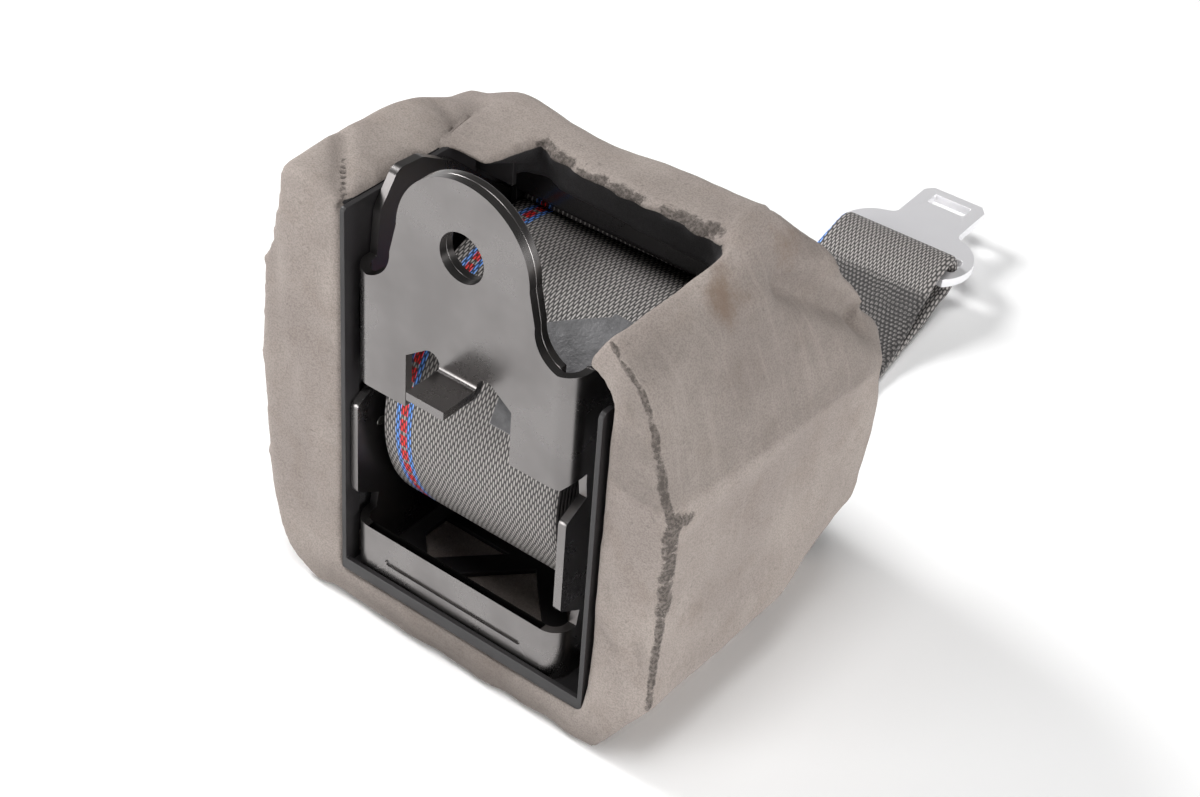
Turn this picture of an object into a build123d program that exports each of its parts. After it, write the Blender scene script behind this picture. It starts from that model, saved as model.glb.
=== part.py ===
"""Seat belt retractor in a moulded foam cover, with its webbing and its tongue.

The origin is the centre of the anchor bolt hole, on the mounting face of the frame.
X runs to the right, Y goes back from the mounting face, and Z is up. All sizes are
in millimetres.
"""

import os
from math import asin, atan2, cos, degrees, hypot, radians, sin, sqrt, tan

from build123d import *

os.makedirs("parts", exist_ok=True)

# Webbing
WEBBING_WIDTH = 48.0
WEBBING_THICKNESS = 1.2
SOFT_GAP = 0.3

# Roll, spool and shaft
ROLL_RADIUS = 37.0
CORE_RADIUS = 11.0
SHAFT_RADIUS = 4.0
COLLAR_RADIUS = 13.0
COLLAR_GAP = 0.45
ROLL_FRONT_GAP = 2.0
AXIS_DROP = 56.5
RUNNING_GAP = 0.05
WEBBING_PIN_RADIUS = 1.8

# Pressed steel frame
SHEET = 2.0
SIDE_GAP = 3.75
BEND_RADIUS = 5.0
HEAD_RADIUS = 17.3
ANCHOR_HOLE_RADIUS = 5.75
SHOULDER_DROP = 16.0
LEG_DROP = 44.5
NOTCH_HALF_WIDTH = 14.2
NOTCH_DROP = 29.0
TAB_WIDTH = 10.0
TAB_REACH = 10.2
TAB_BEND = 1.0
RELIEF_RADIUS = 2.5
BAR_HEIGHT = 13.5
BEAD_LENGTH = 39.0
BEAD_WIDTH = 1.8
BEAD_DEPTH = 0.5
STRIP_TOP_DROP = 52.0
STRIP_BOTTOM_DROP = 76.0
FLANGE_REACH = 29.0
FLANGE_CORNER_UP = 11.0
FLANGE_CORNER_DOWN = 21.0
FLANGE_SHOULDER_BACK = 3.5
FLANGE_CROWN_BACK = 19.0
FLANGE_CROWN_UP = 30.5
EAR_RISE = 2.8
ROLL_FLOOR_GAP = 4.0
BACKING_DROP = 23.0

# Bushes and screws
BUSH_RADIUS = 6.5
BUSH_HEAD_RADIUS = 8.5
BUSH_HEAD = 1.0
SCREW_RADIUS = 1.25
SCREW_HEAD_RADIUS = 2.8
SCREW_HEAD = 1.8
BOSS_RADIUS = 4.0

# Webbing guard and guide
GUARD_GAP = 2.0
GUARD_THICKNESS = 1.5
GUARD_FOOT_HEIGHT = 4.5
GUARD_SLANT = 13.0
GUIDE_BACK = 6.5
GUIDE_HEIGHT = 7.8
GUIDE_DEPTH = 10.5
GUIDE_GROOVE = 4.4
GUIDE_LEG_DEPTH = 8.0
GUIDE_LEG_WALL = 1.6
GUIDE_GAP = 0.8
GUIDE_END_GAP = 0.3
GUIDE_CLIP_RADIUS = 2.0

# Inner shell
SHELL_WALL = 1.2
SHELL_CLEARANCE = 0.1
SHELL_LEFT_GAP = 1.45
SHELL_RIGHT_GAP = 8.25
SHELL_FRONT = -1.5
SHELL_SILL = 1.8
SHELL_SIDE_DEPTH = 4.5
SHELL_RIGHT_DROP = 18.0
LINER_TOP_DROP = 1.5
LINER_FOOT_DROP = 24.0
LINER_RETURN_DROP = 10.5
LATTICE_HEIGHT = 13.5
LATTICE_BASE = 26.0
LATTICE_STEP = 21.0
LATTICE_FRONT = 12.5
LATTICE_CENTRE = 3.0

# Foam cover
FOAM_FRONT = -1.5
FOAM_BOTTOM_WALL = 8.5
FOAM_LEFT_SIDE = 24.25
FOAM_RIGHT_SIDE = 26.25
FOAM_REAR_WALL = 5.0
FOAM_TOP = 0.5
FOAM_CLEARANCE = 0.3
FOAM_ROUND = 3.0
POCKET_GAP = 0.5
TOP_OPENING_REACH = 2.0
TIP_DROP = 9.0

# Rewind spring on the left
CASSETTE_RADIUS = 29.0
CASSETTE_WALL = 1.5
CASSETTE_DEPTH = 14.25
CASSETTE_LID = 1.5
SPRING_INNER_RADIUS = 9.8
SPRING_HALF_TURNS = 13
SPRING_PITCH = 2.3
SPRING_STRIP = 0.5
SPRING_WIDTH = 9.6
ARBOR_RADIUS = 9.4

# Locking mechanism on the right
RATCHET_TEETH = 12
RATCHET_TIP_RADIUS = 24.0
RATCHET_ROOT_RADIUS = 20.0
RATCHET_THICKNESS = 3.0
DRIVE_PIN_RADIUS = 1.25
DRIVE_PIN_ORBIT = 13.0
PAWL_PIVOT_BACK = 20.0
PAWL_PIVOT_DROP = 26.5
PAWL_ENGAGE_ANGLE = -20.0
PAWL_SWING = 14.0
PAWL_THICKNESS = 2.6
PAWL_BOSS_RADIUS = 4.5
PAWL_PIN_RADIUS = 2.5
PILOT_TEETH = 24
PILOT_TIP_RADIUS = 21.0
PILOT_ROOT_RADIUS = 19.3
PILOT_THICKNESS = 2.4
PILOT_LAG = 20.0
INERTIA_RADIUS = 16.0
INERTIA_THICKNESS = 4.0
MECHANISM_DEPTH = 16.25
MECHANISM_WALL = 1.5
MECHANISM_ROOM = 4.0
REAR_LOBE_BACK = 24.5
REAR_LOBE_DROP = 10.0
REAR_LOBE_RADIUS = 6.5
SENSOR_LOBE_RADIUS = 3.0
PILOT_GAP = 0.8
PAWL_GAP = 0.2
BALL_RADIUS = 5.5
BALL_SIDE = 8.25
BALL_FORWARD = 15.0
BALL_DROP = 7.5
SEAT_SLOPE = 30.0
SEAT_HEIGHT = 3.2
SEAT_FLOOR = 2.5
LEVER_FORWARD = 27.0
NOSE_FORWARD = 9.3
NOSE_GAP = 1.87
LEVER_THICKNESS = 1.6
LEVER_WIDTH = 6.0
LEVER_PIN_RADIUS = 1.0
BRACKET_WIDTH = 12.0
BRACKET_DEPTH = 14.0
BRACKET_FLOOR = 2.6
BRACKET_EAR = 4.8

# Free strap and tongue
STRAP_TURN = 2.0
STRAP_LEAVE_ANGLE = 15.0
STRAP_LAP = 32.0
STRAP_REAR_GAP = 1.7
LOOP_LEAD = 16.3
LOOP_STEP = 2.0
FOLD_HALF_WIDTH = 16.5
FOLD_REACH = 64.0
TONGUE_THICKNESS = 2.5
TONGUE_BAR = 4.5
TONGUE_SLOT = 7.0
TONGUE_BASE_HALF_WIDTH = 19.9
TONGUE_BLADE_HALF_WIDTH = 9.75
TONGUE_LENGTH = 38.7
TONGUE_LIFT = 10.5
TONGUE_REACH = 188.25
LATCH_WIDTH = 11.5
LATCH_LENGTH = 4.8

# Places that follow from the sizes above
axis_y = SHEET + ROLL_FRONT_GAP + ROLL_RADIUS
axis_z = -AXIS_DROP
half_web = WEBBING_WIDTH / 2
flange_in = half_web + SIDE_GAP
flange_out = flange_in + SHEET
frame_bottom = axis_z - ROLL_RADIUS - ROLL_FLOOR_GAP
bar_top = frame_bottom + BAR_HEIGHT
shell_radius = -frame_bottom + axis_z + SHELL_CLEARANCE
shell_outer = shell_radius + SHELL_WALL
floor_top = axis_z - shell_radius
floor_bottom = axis_z - shell_outer
table_z = floor_bottom - FOAM_CLEARANCE - FOAM_BOTTOM_WALL
shell_left = -flange_out - SHELL_LEFT_GAP
shell_right = flange_out + SHELL_RIGHT_GAP
foam_rear = axis_y + shell_outer + FOAM_CLEARANCE + FOAM_REAR_WALL
foam_left = -flange_out - FOAM_LEFT_SIDE
foam_right = flange_out + FOAM_RIGHT_SIDE
flange_rear = axis_y + FLANGE_REACH
flange_shoulder = axis_y + FLANGE_SHOULDER_BACK
flange_crown = (axis_y + FLANGE_CROWN_BACK, axis_z + FLANGE_CROWN_UP)
pawl_pivot = (axis_y + PAWL_PIVOT_BACK, axis_z - PAWL_PIVOT_DROP)
ratchet_x = flange_out + BUSH_HEAD + COLLAR_GAP
pilot_x = ratchet_x + RATCHET_THICKNESS + PILOT_GAP
pawl_x = ratchet_x + PAWL_GAP
inertia_x = pilot_x + PILOT_THICKNESS
cover_x = flange_out + MECHANISM_DEPTH
cassette_x = flange_out + CASSETTE_DEPTH

# Sensor places, measured from the spool axis
ball_x = flange_out + BALL_SIDE
ball_y = axis_y - BALL_FORWARD
ball_z = axis_z - PILOT_TIP_RADIUS - BALL_DROP
lever_y = axis_y - LEVER_FORWARD
lever_z = ball_z + BALL_RADIUS + SOFT_GAP + LEVER_THICKNESS / 2
slope = radians(SEAT_SLOPE)
seat_apex = ball_z - (BALL_RADIUS + RUNNING_GAP) / cos(slope)
sensor_bottom = seat_apex - SEAT_FLOOR
sensor_front = lever_y - 4

# Screw places as (y, z) from the spool axis, on the left and on the right flange
cassette_screw_offsets = [(-33.5, -3.5), (21.0, 20.5), (14.0, -31.5)]
cassette_screws_at = [(axis_y + y, axis_z + z) for y, z in cassette_screw_offsets]
mechanism_screw_offsets = [(-26.0, 16.5), (19.0, 21.5), (7.0, -34.5)]
mechanism_screws_at = [(axis_y + y, axis_z + z) for y, z in mechanism_screw_offsets]
guide_clip_at = (axis_y + 12.0, axis_z + 27.0)


def on_axis(radius, angle):
    """A point (y, z) on a circle about the spool axis, angle in degrees from +Y."""
    turn = radians(angle)
    return (axis_y + radius * cos(turn), axis_z + radius * sin(turn))


def wheel_plane(x):
    """An upright plane at a distance along X, centred on the spool axis."""
    return Plane(origin=(x, axis_y, axis_z), x_dir=(0, 1, 0), z_dir=(1, 0, 0))


def save(piece, name):
    """Label a finished piece and write it as one file."""
    piece.part.label = name
    export_step(piece.part, f"parts/{name}.step")


def head_edge():
    """Right half of the anchor head's edge, from the top down to the shoulder."""
    crown = CenterArc((0, 0), HEAD_RADIUS, 0, 90)
    flank_foot = (HEAD_RADIUS + 1.7, -HEAD_RADIUS * 0.43)
    Line(crown @ 0, flank_foot)
    shoulder = (flange_in - 2.5, -SHOULDER_DROP)
    hollow = (flank_foot[0] + 1.9, flank_foot[1] - (SHOULDER_DROP + flank_foot[1]) * 0.68)
    ThreePointArc(flank_foot, hollow, shoulder)
    return shoulder


def lobes(places, grow=0.0):
    """Hull of round lobes at (y, z, radius), the outline of a moulded housing."""
    for y, z, radius in places:
        with Locations((y, z)):
            Circle(radius + grow)
    make_hull()


def saw_teeth(count, tip, root, start):
    """Points of saw teeth whose steep side looks clockwise, about the sketch's origin."""
    pitch = 360 / count
    points = []
    for tooth in range(count):
        turn = radians(start + tooth * pitch)
        points.append((root * cos(turn), root * sin(turn)))
        points.append((tip * cos(turn), tip * sin(turn)))
    return points


# Pressed sheet: a channel with an anchor head, two legs and a lower bar
front_depth = BEND_RADIUS + 1.0
leg_in = NOTCH_HALF_WIDTH
with BuildPart() as pressed_sheet:
    with BuildSketch(Plane.XZ):
        with BuildLine():
            shoulder = head_edge()
            Polyline(
                shoulder,
                (flange_out, -SHOULDER_DROP + 0.5),
                (flange_out, -LEG_DROP + 2.5),
                (flange_out - 2.5, -LEG_DROP),
                (0, -LEG_DROP),
                (0, HEAD_RADIUS),
            )
        make_face()
        mirror(about=Plane.YZ)
        with Locations((0, frame_bottom + BAR_HEIGHT / 2)):
            Rectangle(2 * flange_out, BAR_HEIGHT)
        with BuildLine():
            lobe_x = TAB_WIDTH / 2 + RELIEF_RADIUS
            Polyline(
                (-leg_in, -LEG_DROP - 1),
                (-leg_in, -NOTCH_DROP - 2),
                (-lobe_x - 1.4, -NOTCH_DROP + 1.9),
                (-TAB_WIDTH / 2, -NOTCH_DROP),
                (TAB_WIDTH / 2, -NOTCH_DROP),
                (lobe_x + 1.4, -NOTCH_DROP + 1.9),
                (leg_in, -NOTCH_DROP - 2),
                (leg_in, -LEG_DROP - 1),
                close=True,
            )
        make_face(mode=Mode.SUBTRACT)
        with Locations((-lobe_x, -NOTCH_DROP - 0.2), (lobe_x, -NOTCH_DROP - 0.2)):
            Circle(RELIEF_RADIUS, mode=Mode.SUBTRACT)
        Circle(ANCHOR_HOLE_RADIUS, mode=Mode.SUBTRACT)
    extrude(amount=-front_depth)
    with BuildSketch(Plane.XY.offset(frame_bottom - 1)):
        with Locations((0, 2 * front_depth)):
            RectangleRounded(2 * flange_out, 4 * front_depth, BEND_RADIUS)
        with Locations((0, SHEET + 2 * front_depth)):
            RectangleRounded(
                2 * flange_in, 4 * front_depth, BEND_RADIUS - SHEET, mode=Mode.SUBTRACT
            )
    extrude(amount=HEAD_RADIUS - frame_bottom + 2, mode=Mode.INTERSECT)

    # Side flanges; only the left one rises to an ear beside the anchor head
    back_edge = [
        (flange_rear, axis_z + FLANGE_CORNER_UP),
        (flange_rear, axis_z - FLANGE_CORNER_DOWN),
        on_axis(shell_radius - 1.2, -66),
        on_axis(shell_radius - 0.1, -89),
        (front_depth, frame_bottom),
    ]
    front_edge = [
        (front_depth, bar_top),
        (front_depth + 0.8, bar_top + 4),
        (0, -STRIP_BOTTOM_DROP),
        (0, -STRIP_TOP_DROP),
        (front_depth + 0.5, -LEG_DROP - 4),
        (front_depth, -LEG_DROP),
    ]
    ear_edge = [
        (front_depth, -SHOULDER_DROP + 1),
        (front_depth + 1.0, -5),
        (12.5, EAR_RISE),
        (20, EAR_RISE - 0.6),
        (31, -4.0),
        (flange_shoulder, -SHOULDER_DROP),
        flange_crown,
    ]
    plain_edge = [
        (front_depth, -SHOULDER_DROP + 0.5),
        (12, -SHOULDER_DROP - 2.5),
        (flange_shoulder, -SHOULDER_DROP - 2.5),
        flange_crown,
    ]
    shared_holes = [
        (axis_y, axis_z, BUSH_RADIUS),
        (*guide_clip_at, GUIDE_CLIP_RADIUS + RUNNING_GAP),
    ]
    left_holes = [(*at, SCREW_RADIUS) for at in cassette_screws_at]
    right_holes = [(*at, SCREW_RADIUS) for at in mechanism_screws_at]
    right_holes.append((*pawl_pivot, PAWL_PIN_RADIUS))
    for start_x, top_edge, own_holes in (
        (-flange_out, ear_edge, left_holes),
        (flange_in, plain_edge, right_holes),
    ):
        with BuildSketch(Plane.YZ.offset(start_x)) as flange:
            with BuildLine():
                Polyline(*front_edge, *top_edge, *back_edge, close=True)
            make_face()
            corners = flange.vertices().filter_by_position(Axis.X, front_depth + 0.9, 80)
            fillet(corners, 3)
            strip_ends = flange.vertices().group_by(Axis.X)[0]
            fillet(strip_ends, 1.5)
            for y, z, radius in (*shared_holes, *own_holes):
                with Locations((y, z)):
                    Circle(radius, mode=Mode.SUBTRACT)
        extrude(amount=SHEET)

    # Anchor tab, bent forward out of the notch
    with BuildSketch(Plane.YZ.offset(-TAB_WIDTH / 2)):
        with BuildLine():
            inner = Line((0, -NOTCH_DROP + 2), (0, -NOTCH_DROP))
            bend = CenterArc((-TAB_BEND, -NOTCH_DROP), TAB_BEND, 0, -90)
            upper = Line(bend @ 1, (-TAB_REACH, -NOTCH_DROP - TAB_BEND))
            tip = Line(upper @ 1, (-TAB_REACH, -NOTCH_DROP - TAB_BEND - SHEET))
            lower = Line(tip @ 1, (-TAB_BEND, -NOTCH_DROP - TAB_BEND - SHEET))
            outer = CenterArc((-TAB_BEND, -NOTCH_DROP), TAB_BEND + SHEET, -90, 90)
            back = Line(outer @ 1, (SHEET, -NOTCH_DROP + 2))
            Line(back @ 1, inner @ 0)
        make_face()
    extrude(amount=TAB_WIDTH)

    # Stiffening bead pressed into the lower bar
    bead_z = bar_top - 7.4
    with BuildSketch(Plane.XZ):
        with Locations((0, bead_z)):
            SlotOverall(BEAD_LENGTH, BEAD_WIDTH)
    extrude(amount=-BEAD_DEPTH, mode=Mode.SUBTRACT)
    with BuildSketch(Plane.XZ.offset(-SHEET)):
        with Locations((0, bead_z)):
            SlotOverall(BEAD_LENGTH, BEAD_WIDTH)
    extrude(amount=-BEAD_DEPTH)

# The flat front with the head, the legs and the tab is one node, and the channel another
plate_half = flange_in + SHEET - BEND_RADIUS
plate_room = Pos(0, SHEET - TAB_REACH, (HEAD_RADIUS - LEG_DROP) / 2)
with BuildPart() as anchor_plate:
    add(pressed_sheet.part)
    with Locations(plate_room):
        Box(2 * plate_half, 2 * TAB_REACH, HEAD_RADIUS + LEG_DROP + 1, mode=Mode.INTERSECT)
save(anchor_plate, "anchor_plate")

with BuildPart() as frame:
    add(pressed_sheet.part)
    with Locations(plate_room):
        Box(2 * plate_half, 2 * TAB_REACH, HEAD_RADIUS + LEG_DROP + 1, mode=Mode.SUBTRACT)
save(frame, "frame")

# Second ply of the anchor head, welded behind the first
with BuildPart() as head_backing_plate:
    with BuildSketch(Plane.XZ.offset(-SHEET)) as ply:
        with BuildLine():
            shoulder = head_edge()
            Polyline(
                shoulder,
                (shoulder[0], -BACKING_DROP),
                (0, -BACKING_DROP),
                (0, HEAD_RADIUS),
            )
        make_face()
        mirror(about=Plane.YZ)
        Rectangle(2 * (flange_in - BEND_RADIUS + SHEET - 0.3), 4 * HEAD_RADIUS, mode=Mode.INTERSECT)
        fillet(ply.vertices().group_by(Axis.Y)[0], 3)
        Circle(ANCHOR_HOLE_RADIUS, mode=Mode.SUBTRACT)
    extrude(amount=-SHEET)
save(head_backing_plate, "head_backing_plate")

# Guard: a curved plate behind the right leg that keeps the webbing off the sheet edge
guard_inner = ROLL_RADIUS + GUARD_GAP
guard_outer = guard_inner + GUARD_THICKNESS
guard_top = 110
guard_foot = 157
guard_left = 5.5
guard_right = flange_in - 0.3
with BuildPart() as webbing_guard:
    with BuildSketch(Plane.YZ.offset(guard_left)):
        with BuildLine():
            inner = CenterArc((axis_y, axis_z), guard_inner, guard_top, guard_foot - guard_top)
            outer = CenterArc((axis_y, axis_z), guard_outer, guard_top, guard_foot - guard_top)
            Line(inner @ 0, outer @ 0)
            Line(inner @ 1, outer @ 1)
        make_face()
    extrude(amount=guard_right - guard_left)
    # Slanted upper edge, seen from above
    high = on_axis(guard_outer, guard_top)
    low = on_axis(guard_outer, guard_top + GUARD_SLANT)
    with BuildSketch(Plane.XY.offset(-60)):
        with BuildLine():
            Polyline(
                (guard_left - 1, low[0] - 1),
                (guard_left + GUARD_SLANT, high[0] - 1),
                (guard_left + GUARD_SLANT, high[0] + 9),
                (guard_left - 1, high[0] + 9),
                close=True,
            )
        make_face()
    extrude(amount=60, mode=Mode.SUBTRACT)
    # Foot that seats on the back of the leg
    foot = on_axis(guard_outer, guard_foot)
    foot_left = leg_in + 1.5
    with BuildSketch(Plane.YZ.offset(foot_left)):
        with Locations(((SHEET + foot[0] + 0.9) / 2, foot[1] - 0.6)):
            Rectangle(foot[0] + 0.9 - SHEET, GUARD_FOOT_HEIGHT)
    extrude(amount=flange_in - BEND_RADIUS + SHEET - foot_left)
save(webbing_guard, "webbing_guard")

# Strap path, drawn in an upright plane that turns a little to the left
turn = radians(STRAP_TURN)
strap_plane = Plane(
    origin=(0, axis_y, 0), x_dir=(-sin(turn), cos(turn), 0), z_dir=(cos(turn), sin(turn), 0)
)
leave = radians(STRAP_LEAVE_ANGLE)
strap_orbit = ROLL_RADIUS + SOFT_GAP + WEBBING_THICKNESS / 2
strap_start = (strap_orbit * sin(leave), axis_z + strap_orbit * cos(leave))


def strap_height(back):
    """Height of the strap's middle at a distance behind the spool axis, up to the lip."""
    return strap_start[1] - (back - strap_start[0]) * tan(leave)


# Guide: a channel-shaped bar over the webbing, clipped between the flanges
guide_front = axis_y + GUIDE_BACK
guide_rear = guide_front + GUIDE_DEPTH
guide_bottom = axis_z + ROLL_RADIUS + GUIDE_GAP + 0.4
guide_top = guide_bottom + GUIDE_HEIGHT
guide_half = flange_in - GUIDE_END_GAP
with BuildPart() as webbing_guide:
    with BuildSketch(Plane.YZ.offset(-guide_half)) as section:
        with Locations(((guide_front + guide_rear) / 2, (guide_bottom + guide_top) / 2)):
            Rectangle(GUIDE_DEPTH, GUIDE_HEIGHT)
        fillet(section.vertices().group_by(Axis.Y)[0], 2)
        fillet(section.vertices().group_by(Axis.Y)[-1], 0.8)
        with Locations(((guide_front + guide_rear) / 2 - 0.6, guide_top)):
            Rectangle(GUIDE_GROOVE, GUIDE_HEIGHT + 0.2, mode=Mode.SUBTRACT)
    extrude(amount=2 * guide_half)
    for start_x in (-guide_half, guide_half - GUIDE_LEG_WALL):
        with BuildSketch(Plane.YZ.offset(start_x)) as leg:
            with Locations((guide_clip_at[0], (guide_bottom + guide_clip_at[1] - 4) / 2 + 0.5)):
                Rectangle(GUIDE_LEG_DEPTH, guide_bottom - guide_clip_at[1] + 5)
            fillet(leg.vertices().group_by(Axis.Y)[0], 3)
        extrude(amount=GUIDE_LEG_WALL)
    for side in (-1, 1):
        with Locations(
            Location((side * (guide_half + SHEET / 2), *guide_clip_at), (0, 90, 0))
        ):
            Cylinder(GUIDE_CLIP_RADIUS, SHEET)
save(webbing_guide, "webbing_guide")

# Inner shell: latticed floor, front lip, side walls and a rear wall round the roll
lip_angle = 46
shell_width = shell_right - shell_left
with BuildPart() as inner_shell:
    with BuildSketch(Plane.YZ.offset(shell_left)):
        with BuildLine():
            inner = CenterArc((axis_y, axis_z), shell_radius, -90, 90 + lip_angle)
            outer = CenterArc((axis_y, axis_z), shell_outer, -90, 90 + lip_angle)
            Line(inner @ 1, outer @ 1)
            Polyline(
                outer @ 0,
                (SHELL_FRONT, floor_bottom),
                (SHELL_FRONT, frame_bottom + SHELL_SILL),
                (-SOFT_GAP, frame_bottom + SHELL_SILL),
                (-SOFT_GAP, floor_top),
                inner @ 0,
            )
        make_face()
    extrude(amount=shell_width)
    # Rolled bead along the lip that the strap bends over
    with BuildSketch(Plane.YZ.offset(shell_left)):
        with Locations(on_axis(shell_radius, lip_angle - 2)):
            Circle(SHELL_WALL)
    extrude(amount=shell_width)
    # Side walls beside the front edges of the flanges
    wall_foot = floor_top - 0.1
    side_rear = SHELL_FRONT + SHELL_SIDE_DEPTH
    with BuildSketch(Plane.YZ.offset(shell_right - SHELL_WALL)) as right_wall:
        with Locations(((SHELL_FRONT + side_rear) / 2, (wall_foot - SHELL_RIGHT_DROP) / 2)):
            Rectangle(SHELL_SIDE_DEPTH, -SHELL_RIGHT_DROP - wall_foot)
        fillet(right_wall.vertices().group_by(Axis.Y)[-1], SHELL_SIDE_DEPTH / 3)
    extrude(amount=SHELL_WALL)
    # The left wall widens above the spring cup and turns in behind the ear
    liner_rear = axis_y - FOAM_CLEARANCE
    with BuildSketch(Plane.YZ.offset(shell_left)) as liner:
        with BuildLine():
            Polyline(
                (SHELL_FRONT, wall_foot),
                (SHELL_FRONT, -LINER_TOP_DROP),
                (liner_rear, -LINER_TOP_DROP),
                (liner_rear, -LINER_RETURN_DROP),
                (liner_rear - LINER_FOOT_DROP / 2, -LINER_FOOT_DROP),
                (side_rear, -LINER_FOOT_DROP),
                (side_rear, wall_foot),
                close=True,
            )
        make_face()
        fillet(liner.vertices().group_by(Axis.Y)[-1], 1)
    extrude(amount=SHELL_WALL)
    with BuildSketch(Plane.XY.offset(-LINER_RETURN_DROP)):
        with Locations(((shell_left - half_web + 4.5) / 2, liner_rear - SHELL_WALL / 2)):
            Rectangle(-half_web + 4.5 - shell_left, SHELL_WALL)
    extrude(amount=LINER_RETURN_DROP - LINER_TOP_DROP - 1)
    # Truss of triangular windows in the floor
    with BuildSketch(Plane.XY.offset(floor_bottom - 1)):
        for place in (-1, 0, 1):
            middle = LATTICE_CENTRE + place * LATTICE_STEP
            low_y = LATTICE_FRONT if place == 0 else LATTICE_FRONT + LATTICE_HEIGHT
            high_y = 2 * LATTICE_FRONT + LATTICE_HEIGHT - low_y
            with BuildLine():
                Polyline(
                    (middle - LATTICE_BASE / 2, low_y),
                    (middle + LATTICE_BASE / 2, low_y),
                    (middle, high_y),
                    close=True,
                )
            make_face()
        with Locations((0, LATTICE_FRONT + LATTICE_HEIGHT / 2)):
            Rectangle(2 * half_web, LATTICE_HEIGHT + 4, mode=Mode.INTERSECT)
    extrude(amount=SHELL_WALL + 1.5, mode=Mode.SUBTRACT)
save(inner_shell, "inner_shell")

# Housing outlines as lobes (y, z, radius)
cassette_lobes = [(axis_y, axis_z, CASSETTE_RADIUS)]
cassette_lobes += [(y, z, BOSS_RADIUS) for y, z in cassette_screws_at]
mechanism_lobes = [(axis_y, axis_z, RATCHET_TIP_RADIUS + MECHANISM_ROOM)]
mechanism_lobes += [(y, z, BOSS_RADIUS) for y, z in mechanism_screws_at]
mechanism_lobes.append((*pawl_pivot, PAWL_BOSS_RADIUS + 2.5))
mechanism_lobes.append((axis_y + REAR_LOBE_BACK, axis_z - REAR_LOBE_DROP, REAR_LOBE_RADIUS))
mechanism_lobes.append((sensor_front + 2, lever_z + 1.9, SENSOR_LOBE_RADIUS))
mechanism_lobes.append((sensor_front + 2, sensor_bottom + 0.4, SENSOR_LOBE_RADIUS))

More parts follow.
